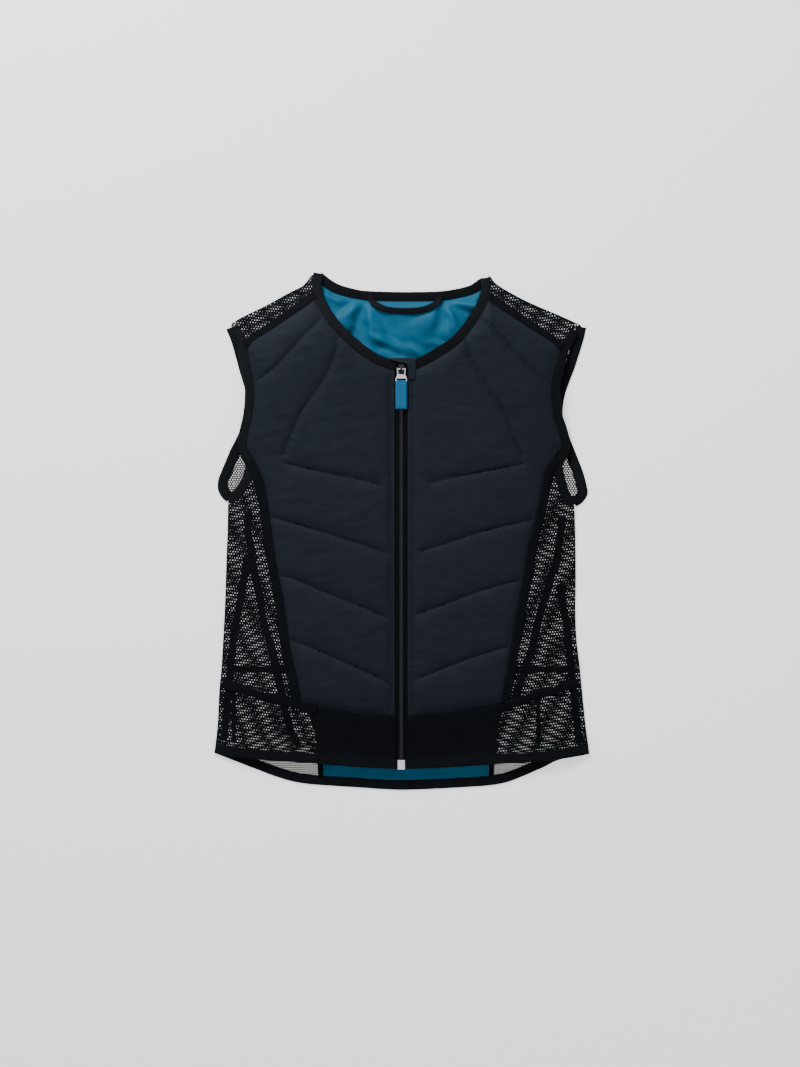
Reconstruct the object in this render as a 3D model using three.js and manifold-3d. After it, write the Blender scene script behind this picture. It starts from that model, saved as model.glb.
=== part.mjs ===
// A sleeveless cooling vest, lying flat on its back: a padded back panel with a coloured lining, a quilted
// front in two halves with a full-length zip, nets at the sides and shoulders, and folded edge bindings.
// Millimetres. The zip runs along Y, the neck is at +Y, the front faces +Z and the back rests on Z = 0.

import * as THREE from 'three';
import { mergeVertices } from 'three/addons/utils/BufferGeometryUtils.js';
import Module from 'manifold-3d';

const wasm = await Module();
wasm.setup();

// Overall size
const HALF_WIDTH = 241; // zip line to hem corner
const LENGTH = 667; // lowest point of the back hem to the neck peak
const CHEST_RISE = 22; // how far the front stands above its side folds

// Cloth
const NET_THICKNESS = 1.2;
const BAND_THICKNESS = 1.8;
const SEAM_THICKNESS = 1.8; // padded panels where they are sewn flat
const PUFF_THICKNESS = 6.5; // padded panels between their channels
const LINING_THICKNESS = 1;
const TAPE_THICKNESS = 0.8;
const BINDING_THICKNESS = 1.8;

// Widths
const ARMHOLE_BINDING = 10;
const NECK_BINDING = 11;
const HEM_BINDING = 12;
const SIDE_TAPE = 10;
const WAIST_TAPE = 7.5;
const SHOULDER_TAPE = 8;
const GUSSET_TAPE = 6.5;
const PLACKET = 10; // flat edge of the quilted panels

// Clearance between neighbours
const GAP = 0.3;

// Zip
const ZIP_AXIS = -0.8; // offset of the zip from the middle of the box
const TEETH_WIDTH = 5.6;
const TEETH_HEIGHT = 2.6;
const ZIP_TAPE_WIDTH = 4.6; // visible on each side of the teeth
const ZIP_TAPE_THICKNESS = 1;
const STOP_WIDTH = 9;
const STOP_HEIGHT = 3.4;
const STOP_GROOVE = 0.7;

// Slider and puller
const SLIDER_WIDTH = 9;
const SLIDER_LENGTH = 12;
const SLIDER_PLATE = 1.5;
const SLIDER_NOSE = 3; // length of the tapered end
const SLIDER_CORNER = 1;
const BRIDGE_WIDTH = 2.6;
const BRIDGE_LENGTH = 8;
const BRIDGE_WALL = 1.2;
const HINGE_PIN = 1.5; // diameter
const HINGE_PLAY = 0.5;
const BAIL_THICKNESS = 1.5;
const BAIL_ARM = 1.9;
const BAIL_LENGTH = 15.7; // hinge to the bail's far edge
const BAIL_TOP_WIDTH = 11.4;
const BAIL_WIDTH = 15;
const BAIL_SLOT_WIDTH = 10.6;
const BAIL_SLOT = 2.4;
const BAIL_BAR = 1.5;
const BAIL_CORNER = 2; // straight length at both far corners
const TAB_WIDTH = 15;
const TAB_LENGTH = 35;
const TAB_THICKNESS = 2.6;
const TAB_RIB = 0.35;
const TAB_RIB_PITCH = 3.2;
const SLEEVE_WALL = 0.9; // the tab's end wraps around the bail's bar
const SLEEVE_OVERLAP = 1.5;
const GARAGE_THICKNESS = 2.2;
const GARAGE_LENGTH = 29; // along the zip, half of it above the hinge
const GARAGE_REACH = 18.4; // from the zip to the flap's far edge
const GARAGE_LIP = 10; // width of the part that passes beside the slider

// Hanger loop
const LOOP_WIDTH = 7;
const LOOP_THICKNESS = 1.5;

const FOLD_HEIGHT = BINDING_THICKNESS + GAP;
const ZIP_TAPE_EDGE = TEETH_WIDTH / 2 + GAP + ZIP_TAPE_WIDTH;
const FRONT_EDGE = ZIP_TAPE_EDGE + GAP;

const SIDES = ['left', 'right'];
const outwardOf = { left: -1, right: 1 };

// Seams and edges. Columns: share of HALF_WIDTH from the box's middle, share of LENGTH from the hem.
const seams = {
  neck: {
    left: [[-0.444, 0.995], [-0.453, 0.975], [-0.445, 0.952], [-0.395, 0.916], [-0.32, 0.882],
      [-0.224, 0.85], [-0.133, 0.828], [-0.033, 0.8135]],
    right: [[0.443, 0.986], [0.448, 0.965], [0.436, 0.947], [0.402, 0.92], [0.345, 0.889],
      [0.281, 0.863], [0.193, 0.841], [0.09, 0.8205], [0.024, 0.8135]],
  },
  armholeFront: {
    left: [[-0.884, 0.886], [-0.854, 0.865], [-0.838, 0.83], [-0.814, 0.782], [-0.811, 0.753],
      [-0.822, 0.718], [-0.845, 0.682], [-0.849, 0.66], [-0.825, 0.641], [-0.809, 0.624],
      [-0.822, 0.603], [-0.865, 0.576], [-0.92, 0.555]],
    right: [[0.92, 0.884], [0.872, 0.854], [0.848, 0.826], [0.827, 0.797], [0.816, 0.772],
      [0.826, 0.726], [0.856, 0.693], [0.872, 0.664], [0.856, 0.645], [0.832, 0.626],
      [0.845, 0.597], [0.869, 0.572], [0.912, 0.548]],
  },
  armholeBack: {
    left: [[-0.91, 0.891], [-0.878, 0.861], [-0.841, 0.812], [-0.807, 0.767], [-0.811, 0.735],
      [-0.834, 0.696], [-0.853, 0.676], [-0.889, 0.651], [-0.926, 0.619], [-0.951, 0.597],
      [-0.954, 0.581], [-0.937, 0.569], [-0.918, 0.563]],
    right: [[0.956, 0.892], [0.941, 0.869], [0.9, 0.821], [0.845, 0.766], [0.83, 0.726],
      [0.845, 0.698], [0.882, 0.663], [0.915, 0.633], [0.943, 0.606], [0.959, 0.583],
      [0.963, 0.571], [0.941, 0.56], [0.917, 0.555]],
  },
  shoulderFold: {
    left: [[-0.932, 0.893], [-0.854, 0.91], [-0.719, 0.934], [-0.598, 0.958], [-0.528, 0.971],
      [-0.479, 0.992]],
    right: [[0.978, 0.893], [0.925, 0.9], [0.82, 0.917], [0.708, 0.934], [0.596, 0.954],
      [0.502, 0.975], [0.471, 0.99]],
  },
  sideSeam: {
    left: [[-0.828, 0.66], [-0.797, 0.641], [-0.758, 0.611], [-0.729, 0.581], [-0.705, 0.525],
      [-0.668, 0.433], [-0.627, 0.359], [-0.594, 0.271], [-0.555, 0.211], [-0.537, 0.17]],
    right: [[0.864, 0.664], [0.816, 0.644], [0.78, 0.623], [0.755, 0.599], [0.722, 0.537],
      [0.679, 0.477], [0.647, 0.41], [0.606, 0.33], [0.559, 0.231], [0.527, 0.168]],
  },
  backSeam: {
    left: [[-0.806, 0.662], [-0.747, 0.612], [-0.705, 0.554], [-0.651, 0.433], [-0.587, 0.315],
      [-0.528, 0.211], [-0.475, 0.116], [-0.429, 0.024]],
    right: [[0.845, 0.658], [0.786, 0.612], [0.727, 0.55], [0.679, 0.454], [0.615, 0.329],
      [0.557, 0.211], [0.503, 0.116], [0.457, 0.024]],
  },
  sideFold: {
    left: [[-0.926, 0.564], [-0.929, 0.507], [-0.935, 0.448], [-0.943, 0.359], [-0.953, 0.29],
      [-0.962, 0.235], [-0.973, 0.194], [-0.983, 0.123], [-1, 0.071]],
    right: [[0.919, 0.552], [0.925, 0.483], [0.927, 0.404], [0.925, 0.344], [0.931, 0.29],
      [0.947, 0.242], [0.96, 0.194], [0.979, 0.126], [1, 0.069]],
  },
  waist: {
    left: [[-0.968, 0.215], [-0.888, 0.205], [-0.779, 0.194], [-0.67, 0.183], [-0.539, 0.171],
      [-0.443, 0.161], [-0.325, 0.155], [-0.224, 0.148], [-0.026, 0.144]],
    right: [[0.955, 0.217], [0.881, 0.209], [0.799, 0.199], [0.722, 0.192], [0.631, 0.181],
      [0.535, 0.169], [0.41, 0.162], [0.273, 0.152], [0.138, 0.147], [0.022, 0.144]],
  },
  frontHem: {
    left: [[-1, 0.071], [-0.795, 0.06], [-0.624, 0.056], [-0.459, 0.052], [-0.224, 0.045], [0.001, 0.041]],
    right: [[1, 0.069], [0.845, 0.06], [0.674, 0.054], [0.508, 0.051], [0.257, 0.045], [0.001, 0.041]],
  },
};

const backNeck = [[-0.432, 0.986], [-0.368, 0.969], [-0.293, 0.959], [-0.186, 0.952], [0.001, 0.95],
  [0.193, 0.951], [0.295, 0.956], [0.375, 0.964], [0.426, 0.976]];
const backHem = [[-1, 0.071], [-0.892, 0.056], [-0.779, 0.04], [-0.666, 0.025], [-0.569, 0.015],
  [-0.464, 0.01], [-0.256, 0.005], [0.001, 0], [0.332, 0.005], [0.498, 0.01], [0.596, 0.019],
  [0.746, 0.042], [0.824, 0.056], [0.898, 0.063], [1, 0.069]];
const hangerLoop = [[-0.154, 0.944], [-0.128, 0.932], [-0.075, 0.924], [0.017, 0.9215], [0.11, 0.924],
  [0.162, 0.932], [0.188, 0.944]];

// Tapes inside the back net. Columns are the same shares as above.
const gussetLong = {
  left: [[-0.819, 0.537], [-0.818, 0.493], [-0.761, 0.374], [-0.729, 0.315], [-0.678, 0.251],
    [-0.638, 0.174], [-0.598, 0.12], [-0.55, 0.084]],
  right: [[0.856, 0.529], [0.84, 0.477], [0.818, 0.433], [0.786, 0.4], [0.733, 0.33],
    [0.674, 0.251], [0.605, 0.176]],
};
const gussetShort = {
  left: [[-0.845, 0.45], [-0.862, 0.386], [-0.89, 0.319], [-0.905, 0.265]],
  right: [[0.852, 0.41], [0.866, 0.367], [0.88, 0.319], [0.893, 0.267]],
};
const backWaist = { left: [[-0.915, 0.232], [-0.6, 0.232]], right: [[0.905, 0.232], [0.6, 0.232]] };
const lowerSeam = { left: [[-0.896, 0.209], [-0.896, 0.09]], right: [[0.727, 0.19], [0.727, 0.085]] };

const bandEdge = { left: -0.454, right: 0.507 };

// Rows of the quilted halves from the shoulder to the waist. Columns: where the row meets the armhole or
// side and where it meets the neck or zip, as shares of LENGTH, and how full the padding is, 0 in a channel.
const quiltRows = {
  left: [
    [0.857, 0.948, 0], [0.842, 0.934, 0.7], [0.815, 0.907, 1], [0.784, 0.876, 1], [0.753, 0.85, 1],
    [0.722, 0.829, 1], [0.691, 0.806, 1], [0.664, 0.753, 1], [0.647, 0.666, 0.8], [0.63, 0.579, 0],
    [0.603, 0.541, 0.85], [0.568, 0.496, 0.85], [0.531, 0.452, 0], [0.493, 0.412, 0.85],
    [0.454, 0.371, 0.85], [0.415, 0.329, 0], [0.375, 0.29, 0.85], [0.334, 0.249, 0.85],
    [0.291, 0.209, 0], [0.251, 0.186, 0.85], [0.211, 0.165, 0.85], [0.1715, 0.144, 0],
  ],
  right: [
    [0.852, 0.947, 0], [0.84, 0.932, 0.7], [0.813, 0.905, 1], [0.784, 0.875, 1], [0.753, 0.85, 1],
    [0.722, 0.829, 1], [0.693, 0.806, 1], [0.666, 0.753, 1], [0.651, 0.668, 0.8], [0.635, 0.583, 0],
    [0.603, 0.541, 0.85], [0.564, 0.496, 0.85], [0.522, 0.452, 0], [0.485, 0.412, 0.85],
    [0.446, 0.373, 0.85], [0.405, 0.332, 0], [0.363, 0.29, 0.85], [0.323, 0.249, 0.85],
    [0.28, 0.208, 0], [0.244, 0.186, 0.85], [0.205, 0.165, 0.85], [0.168, 0.144, 0],
  ],
};
// Padding across a row, from the zip to the side
const quiltAcross = [0, 0, 0.75, 1, 1, 1, 0.75, 0];

// Rows of the back panel. Columns: share of LENGTH at both sides, and how far the padding stands.
const backRows = [
  [0.852, 0], [0.836, 1], [0.77, 1], [0.71, 1], [0.655, 1], [0.61, 0], [0.57, 0.85], [0.53, 0],
  [0.47, 0.85], [0.41, 0], [0.35, 0.85], [0.29, 0], [0.22, 0.85], [0.15, 0], [0.085, 0.85], [0.024, 0],
];
// Columns of the back panel, as shares of its width from left to right. The corners of the neck add four.
const backAcross = [0, 0.06, 0.13, 0.28, 0.34, 0.42, 0.5, 0.58, 0.66, 0.72, 0.87, 0.94, 1];
const BACK_PUFF = 5;

// How the front layer falls: over this length below the shoulders, and to this share at the hem
const SHOULDER_EASE = 100;
const HEM_EASE = 120;
const HEM_SHARE = 0.5;
const SIDE_ROUNDNESS = 4;

const underarm = { left: 0.631, right: 0.636 }; // where side seam and armhole part, shares of LENGTH
const ZIP_TOP = 0.8035;
const HINGE = 0.8086; // share of LENGTH where the puller hinges

// Lines in the plane of the cloth

function lineOf(points, steps = 3) {
  const curve = new THREE.SplineCurve(
    points.map(([across, along]) => new THREE.Vector2(across * HALF_WIDTH, along * LENGTH)),
  );
  return curve.getPoints((points.length - 1) * steps);
}

function shift(line, distance) {
  return line.map((point, index) => {
    const before = line[Math.max(index - 1, 0)];
    const after = line[Math.min(index + 1, line.length - 1)];
    const along = after.clone().sub(before).normalize();
    return new THREE.Vector2(point.x - along.y * distance, point.y + along.x * distance);
  });
}

// Reads one coordinate of a line where the other has a given value
function read(line, known, value, wanted) {
  for (let index = 1; index < line.length; index += 1) {
    const [from, to] = [line[index - 1], line[index]];
    const span = to[known] - from[known];
    const share = span === 0 ? 0 : (value - from[known]) / span;
    if (span !== 0 && share >= 0 && share <= 1) {
      return from[wanted] + (to[wanted] - from[wanted]) * share;
    }
  }
  const first = line[0];
  const last = line[line.length - 1];
  return Math.abs(value - first[known]) < Math.abs(value - last[known]) ? first[wanted] : last[wanted];
}

const xAt = (line, y) => read(line, 'y', y, 'x');
const yAt = (line, x) => read(line, 'x', x, 'y');

// Where a line that runs down meets one that runs across
function meeting(down, across) {
  let y = across[0].y;
  for (let turn = 0; turn < 12; turn += 1) y = yAt(across, xAt(down, y));
  return new THREE.Vector2(xAt(down, y), y);
}

// Points on a line at even steps of x
function spread(line, fromX, toX, count) {
  return Array.from({ length: count + 1 }, (_, index) => {
    const x = fromX + ((toX - fromX) * index) / count;
    return new THREE.Vector2(x, yAt(line, x));
  });
}

const lines = {};
for (const [name, sides] of Object.entries(seams)) {
  lines[name] = { left: lineOf(sides.left), right: lineOf(sides.right) };
}
const backNeckLine = lineOf(backNeck);
const backHemLine = lineOf(backHem, 2);

const edges = {};
for (const side of SIDES) {
  const outward = outwardOf[side];
  edges[side] = {
    neck: shift(lines.neck[side], outward * (NECK_BINDING / 2 + GAP)),
    armholeFront: shift(lines.armholeFront[side], -outward * (ARMHOLE_BINDING / 2 + GAP)),
    armholeBack: shift(lines.armholeBack[side], -outward * (ARMHOLE_BINDING / 2 + GAP)),
    hem: shift(lines.frontHem[side], -outward * (HEM_BINDING + GAP)),
    aboveWaist: shift(lines.waist[side], -outward * GAP),
    belowWaist: shift(lines.waist[side], outward * GAP),
    zip: ZIP_AXIS + outward * FRONT_EDGE,
    side: [lines.shoulderFold[side][0], ...lines.sideFold[side]],
  };
}
const backNeckEdge = shift(backNeckLine, -(NECK_BINDING / 2 + GAP));
const backHemEdge = shift(backHemLine, HEM_BINDING + GAP);

// Heights of the cloth

const clamp = (value) => Math.min(Math.max(value, 0), 1);
const smooth = (value) => clamp(value) ** 2 * (3 - 2 * clamp(value));

function sideShare(x, y) {
  const side = x < 0 ? 'left' : 'right';
  return clamp(x / xAt(edges[side].side, y));
}

function frontUnderside(x, y) {
  const side = x < 0 ? 'left' : 'right';
  const below = yAt(lines.shoulderFold[side], x) - y;
  const shoulder = 1 - (1 - clamp(below / SHOULDER_EASE)) ** 2;
  const hemY = yAt(lines.frontHem.left, 0);
  const hem = HEM_SHARE + (1 - HEM_SHARE) * smooth((y - hemY) / HEM_EASE);
  return FOLD_HEIGHT + CHEST_RISE * (1 - sideShare(x, y) ** SIDE_ROUNDNESS) * shoulder * hem;
}

// The back net lifts a little where it meets the front net at the side fold
const FOLD_SHARE = 0.93;
function backNetUnderside(x, y) {
  const lift = FOLD_HEIGHT - GAP - NET_THICKNESS;
  return lift * smooth((sideShare(x, y) - FOLD_SHARE) / (1 - FOLD_SHARE));
}

// Solids

function closedGeometry(positions, indices) {
  let volume = 0;
  const corner = (index) => new THREE.Vector3().fromArray(positions, index * 3);
  for (let index = 0; index < indices.length; index += 3) {
    const [a, b, c] = indices.slice(index, index + 3).map(corner);
    volume += a.dot(b.cross(c));
  }
  const faces = volume > 0 ? indices : indices.slice().reverse();
  const geometry = new THREE.BufferGeometry();
  geometry.setAttribute('position', new THREE.Float32BufferAttribute(positions, 3));
  geometry.setIndex(faces);
  geometry.computeVertexNormals();
  return geometry;
}

// A piece of cloth from a grid of points, each with x, y, low and high
function clothSolid(grid) {
  const rows = grid.length;
  const columns = grid[0].length;
  const positions = [];
  for (const level of ['low', 'high']) {
    for (const point of grid.flat()) positions.push(point.x, point.y, point[level]);
  }
  const low = (row, column) => row * columns + column;
  const high = (row, column) => rows * columns + low(row, column);
  const indices = [];
  const quad = (a, b, c, d) => indices.push(a, b, c, a, c, d);
  for (let row = 1; row < rows; row += 1) {
    for (let column = 1; column < columns; column += 1) {
      quad(high(row - 1, column - 1), high(row - 1, column), high(row, column), high(row, column - 1));
      quad(low(row - 1, column - 1), low(row, column - 1), low(row, column), low(row - 1, column));
    }
  }
  const rim = [];
  for (let column = 0; column < columns - 1; column += 1) rim.push([0, column]);
  for (let row = 0; row < rows - 1; row += 1) rim.push([row, columns - 1]);
  for (let column = columns - 1; column > 0; column -= 1) rim.push([rows - 1, column]);
  for (let row = rows - 1; row > 0; row -= 1) rim.push([row, 0]);
  rim.forEach((from, index) => {
    const to = rim[(index + 1) % rim.length];
    quad(high(...to), high(...from), low(...from), low(...to));
  });
  return closedGeometry(positions, indices);
}

// A four-sided grid between two rails. margin is the width of the first column, beside the inner rail.
// first and last, where given, are the curves that the first and last rows follow between their ends.
function patch({ inner, outer, columns, margin = 0, shares, first, last }) {
  const rise = (curve, row, share) => {
    const x = inner[row].x + (outer[row].x - inner[row].x) * share;
    return yAt(curve, x) - (inner[row].y + (outer[row].y - inner[row].y) * share);
  };
  const bend = (curve, row, share) => {
    if (!curve) return 0;
    return rise(curve, row, share) - rise(curve, row, 0) * (1 - share) - rise(curve, row, 1) * share;
  };
  const end = inner.length - 1;
  return inner.map((start, row) => {
    const stop = outer[row];
    const edge = margin ? Math.min(margin / start.distanceTo(stop), 0.8) : 0;
    const even = Array.from({ length: columns + 1 }, (_, index) => edge + ((1 - edge) * index) / columns);
    if (margin) even.unshift(0);
    return (shares ?? even).map((share) => {
      const v = row / end;
      const x = start.x + (stop.x - start.x) * share;
      const y = start.y + (stop.y - start.y) * share;
      return { x, y: y + (1 - v) * bend(first, 0, share) + v * bend(last, end, share), share };
    });
  });
}

function raise(grid, low, thickness) {
  return grid.map((row, rowIndex) => row.map((point, column) => {
    const under = low(point.x, point.y);
    const thick = typeof thickness === 'function' ? thickness(rowIndex, column) : thickness;
    return { ...point, low: under, high: under + thick };
  }));
}

// A second layer on some columns of a grid
function layer(grid, fromColumn, toColumn, thickness) {
  return grid.map((row) => row.slice(fromColumn, toColumn).map((point) => ({
    ...point, low: point.high + GAP, high: point.high + GAP + thickness,
  })));
}

// A flat strip of a given width along a line
function strip(line, width, low, thickness) {
  const left = shift(line, width / 2);
  const right = shift(line, -width / 2);
  return raise(left.map((point, index) => [point, right[index]]), low, thickness);
}

function trimmed(line, fromX, toX) {
  const [small, large] = [Math.min(fromX, toX), Math.max(fromX, toX)];
  const kept = line.filter((point) => point.x > small + 1 && point.x < large - 1);
  const ends = [new THREE.Vector2(fromX, yAt(line, fromX)), new THREE.Vector2(toX, yAt(line, toX))];
  return [ends[0], ...kept, ends[1]];
}

// Cutting and joining

function solidOf(geometry) {
  const bare = geometry.clone();
  bare.deleteAttribute('normal');
  bare.deleteAttribute('uv');
  const merged = mergeVertices(bare, 1e-5);
  return new wasm.Manifold(new wasm.Mesh({
    numProp: 3,
    vertProperties: new Float32Array(merged.attributes.position.array),
    triVerts: new Uint32Array(merged.index.array),
  }));
}

function geometryOf(solid) {
  const mesh = solid.getMesh();
  const geometry = new THREE.BufferGeometry();
  geometry.setAttribute('position', new THREE.BufferAttribute(new Float32Array(mesh.vertProperties), 3));
  geometry.setIndex(new THREE.BufferAttribute(new Uint32Array(mesh.triVerts), 1));
  geometry.computeVertexNormals();
  return geometry;
}

// Everything above and below a strip of binding, with its clearance
function clearanceOf(line, width) {
  const tall = 4 * CHEST_RISE;
  return solidOf(clothSolid(strip(line, width + 2 * GAP, () => -tall / 2, tall)));
}

// Hard pieces

function block(width, length, height, x, y, z) {
  return new THREE.BoxGeometry(width, length, height).translate(x, y, z + height / 2);
}

function plate(points, height, z) {
  const shape = new THREE.Shape(points.map(([x, y]) => new THREE.Vector2(x, y)));
  return new THREE.ExtrudeGeometry(shape, { depth: height, bevelEnabled: false }).translate(0, 0, z);
}

// A profile of [y, z] points drawn out along X, centred on X = 0
function profileAlongX(points, width) {
  const shape = new THREE.Shape(points.map(([y, z]) => new THREE.Vector2(y, z)));
  const geometry = new THREE.ExtrudeGeometry(shape, { depth: width, bevelEnabled: false });
  const turn = new THREE.Matrix4().set(0, 0, 1, -width / 2, 1, 0, 0, 0, 0, 1, 0, 0, 0, 0, 0, 1);
  return geometry.applyMatrix4(turn);
}

// Finishes

const finishes = {
  quilted: { color: 0x1c212a, roughness: 0.72, metalness: 0 },
  knit: { color: 0x0f1218, roughness: 0.85, metalness: 0 },
  net: { color: 0x101318, roughness: 0.8, metalness: 0 },
  binding: { color: 0x0b0e14, roughness: 0.65, metalness: 0 },
  lining: { color: 0x1b96b9, roughness: 0.6, metalness: 0 },
  tab: { color: 0x197da0, roughness: 0.5, metalness: 0 },
  bareMetal: { color: 0xd8d6da, roughness: 0.3, metalness: 0.9 },
  blackMetal: { color: 0x15171b, roughness: 0.4, metalness: 0.5 },
};

const vest = new THREE.Group();

function add(name, geometry, finish, parent = vest) {
  const mesh = new THREE.Mesh(geometry, new THREE.MeshStandardMaterial(finishes[finish]));
  mesh.name = name;
  parent.add(mesh);
  return mesh;
}

// Cloth is cut back from the bindings at its edges
function addCloth(name, grid, finish, cutters = []) {
  if (cutters.length === 0) return add(name, clothSolid(grid), finish);
  const whole = solidOf(clothSolid(grid));
  return add(name, geometryOf(cutters.reduce((solid, cutter) => solid.subtract(cutter), whole)), finish);
}

const backHemMiddle = shift(backHemLine, HEM_BINDING / 2);
const cutters = {
  back: [clearanceOf(backNeckLine, NECK_BINDING), clearanceOf(backHemMiddle, HEM_BINDING)],
};
for (const side of SIDES) {
  cutters[side] = [
    clearanceOf(lines.neck[side], NECK_BINDING),
    clearanceOf(lines.armholeFront[side], ARMHOLE_BINDING),
    clearanceOf(shift(lines.frontHem[side], (outwardOf[side] * -HEM_BINDING) / 2), HEM_BINDING),
  ];
  cutters.back.push(clearanceOf(lines.armholeBack[side], ARMHOLE_BINDING));
}

// Front halves

const onLine = (line, y) => new THREE.Vector2(xAt(line, y), y);

function frontRails(side) {
  const { neck, armholeFront, zip, aboveWaist } = edges[side];
  const neckEnd = neck[neck.length - 1].y;
  const corners = [meeting(lines.sideSeam[side], aboveWaist), new THREE.Vector2(zip, yAt(aboveWaist, zip))];
  const outer = quiltRows[side].map(([along]) => {
    const y = along * LENGTH;
    return onLine(along > underarm[side] ? armholeFront : lines.sideSeam[side], y);
  });
  const inner = quiltRows[side].map(([, along]) => {
    const y = along * LENGTH;
    return y > neckEnd ? onLine(neck, y) : new THREE.Vector2(zip, y);
  });
  return { outer: [...outer.slice(0, -1), corners[0]], inner: [...inner.slice(0, -1), corners[1]] };
}

function frontPanel(side) {
  const { outer, inner } = frontRails(side);
  const columns = quiltAcross.length - 2;
  const grid = patch({ inner, outer, columns, margin: PLACKET, last: edges[side].aboveWaist });
  const padding = (row, column) => {
    return SEAM_THICKNESS + (PUFF_THICKNESS - SEAM_THICKNESS) * quiltRows[side][row][2] * quiltAcross[column];
  };
  addCloth(`front_panel_${side}`, raise(grid, frontUnderside, padding), 'quilted', cutters[side]);
}

function frontSideNet(side) {
  const outward = outwardOf[side];
  const { armholeFront, aboveWaist, side: fold } = edges[side];
  const binding = armholeFront[armholeFront.length - 1].y;
  const seam = frontRails(side).outer.filter((point) => point.y < underarm[side] * LENGTH);
  const inner = shift(seam, outward * GAP);
  const [top, seamEnd, foldEnd] = [seam[0].y, seam[seam.length - 1].y, meeting(fold, aboveWaist).y];
  const outer = seam.map((point) => {
    const y = top + ((foldEnd - top) * (top - point.y)) / (top - seamEnd);
    return onLine(y > binding ? armholeFront : fold, y);
  });
  const flat = patch({ inner, outer, columns: 4, margin: SIDE_TAPE, last: aboveWaist });
  const net = raise(flat, frontUnderside, NET_THICKNESS);
  addCloth(`front_side_net_${side}`, net, 'net', cutters[side]);
  addCloth(`front_side_tape_${side}`, layer(net, 0, 2, TAPE_THICKNESS), 'binding', cutters[side]);
}

function frontHem(side) {
  const outward = outwardOf[side];
  const { hem, zip, belowWaist: waist } = edges[side];
  const edge = bandEdge[side] * HALF_WIDTH;
  const bandGap = edge + (outward * GAP) / 2;
  const bandStart = edge - (outward * GAP) / 2;
  const stopEdge = ZIP_AXIS + outward * (STOP_WIDTH / 2 + GAP);

  const netTop = spread(waist, waist[0].x, bandGap, 7);
  const netBottom = spread(hem, hem[0].x, bandGap, 7);
  const flat = patch({ inner: netTop, outer: netBottom, columns: 3, margin: WAIST_TAPE });
  const net = raise(flat, frontUnderside, NET_THICKNESS);
  addCloth(`front_lower_net_${side}`, net, 'net', cutters[side]);
  addCloth(`front_waist_tape_${side}`, layer(net, 0, 2, TAPE_THICKNESS), 'binding', cutters[side]);

  const band = patch({
    inner: spread(waist, bandStart, zip, 8), outer: spread(hem, bandStart, zip, 8), columns: 2,
  });
  addCloth(`front_hem_band_${side}`, raise(band, frontUnderside, BAND_THICKNESS), 'knit', cutters[side]);

  const middle = shift(lines.frontHem[side], (outward * -HEM_BINDING) / 2);
  const line = trimmed(middle, middle[0].x, stopEdge);
  const binding = strip(line, HEM_BINDING, frontUnderside, BINDING_THICKNESS);
  addCloth(`hem_binding_front_${side}`, binding, 'binding');
}

// Shoulders

// Both ends of the shoulder seam, the outer one drawn out by a given length
function seamEnds(side, extra) {
  const { outer, inner } = frontRails(side);
  const direction = outer[0].clone().sub(inner[0]).normalize();
  return [outer[0].clone().addScaledVector(direction, extra), inner[0]];
}

// Where the back panel's neck edge begins
const neckCorner = (side) => backNeckEdge[side === 'left' ? 0 : backNeckEdge.length - 1];

function shoulder(side) {
  const fold = lines.shoulderFold[side];
  const yoke = (extra, armhole, neckX) => {
    const corners = shift(seamEnds(side, extra), outwardOf[side] * -GAP);
    return patch({
      inner: spread(corners, corners[0].x, corners[1].x, 6),
      outer: spread(fold, xAt(armhole, fold[0].y), neckX, 6),
      columns: 2, margin: SHOULDER_TAPE,
    });
  };
  const frontNeckX = edges[side].neck[1].x;
  const backNeckX = neckCorner(side).x;
  const front = yoke(ARMHOLE_BINDING / 2, lines.armholeFront[side], frontNeckX);
  const net = raise(front, frontUnderside, NET_THICKNESS);
  addCloth(`shoulder_net_front_${side}`, net, 'net', cutters[side]);
  addCloth(`shoulder_tape_${side}`, layer(net, 0, 2, TAPE_THICKNESS), 'binding', cutters[side]);
  const behind = yoke(ARMHOLE_BINDING, lines.armholeBack[side], backNeckX);
  const back = raise(behind, backNetUnderside, NET_THICKNESS);
  addCloth(`shoulder_net_back_${side}`, back, 'net', cutters.back);
}

// Edge bindings

function bindings(side) {
  const ground = () => 0;
  addCloth(`neck_binding_front_${side}`,
    strip(lines.neck[side], NECK_BINDING, frontUnderside, BINDING_THICKNESS), 'binding');
  addCloth(`armhole_binding_front_${side}`,
    strip(lines.armholeFront[side], ARMHOLE_BINDING, frontUnderside, BINDING_THICKNESS), 'binding');
  addCloth(`armhole_binding_back_${side}`,
    strip(lines.armholeBack[side], ARMHOLE_BINDING, ground, BINDING_THICKNESS), 'binding');
}

// Back layer

function backPanel() {
  const rail = (side) => backRows.map(([along], row) => {
    const y = along * LENGTH;
    const atSide = y < lines.backSeam[side][0].y;
    if (row === 0) return seamEnds(side, ARMHOLE_BINDING)[0];
    return onLine(atSide ? lines.backSeam[side] : edges[side].armholeBack, y);
  });
  const [left, right] = SIDES.map((side) => seamEnds(side, ARMHOLE_BINDING));
  const top = [...left, ...backNeckEdge, ...right.reverse()];
  const corners = [left[1], neckCorner('left'), neckCorner('right'), right[0]];
  const cornerShares = corners.map((corner) => (corner.x - top[0].x) / (top[top.length - 1].x - top[0].x));
  const shares = [...backAcross, ...cornerShares].sort((one, other) => one - other);
  const flat = patch({ inner: rail('left'), outer: rail('right'), shares, first: top, last: backHemEdge });
  const padding = (row, column) => {
    const inside = column > 0 && column < shares.length - 1;
    return SEAM_THICKNESS + (inside ? (BACK_PUFF - SEAM_THICKNESS) * backRows[row][1] : 0);
  };
  const panel = raise(flat, () => 0, padding);
  addCloth('back_panel', panel, 'quilted', cutters.back);
  addCloth('back_lining', layer(panel, 0, shares.length, LINING_THICKNESS), 'lining', cutters.back);
}

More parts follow.
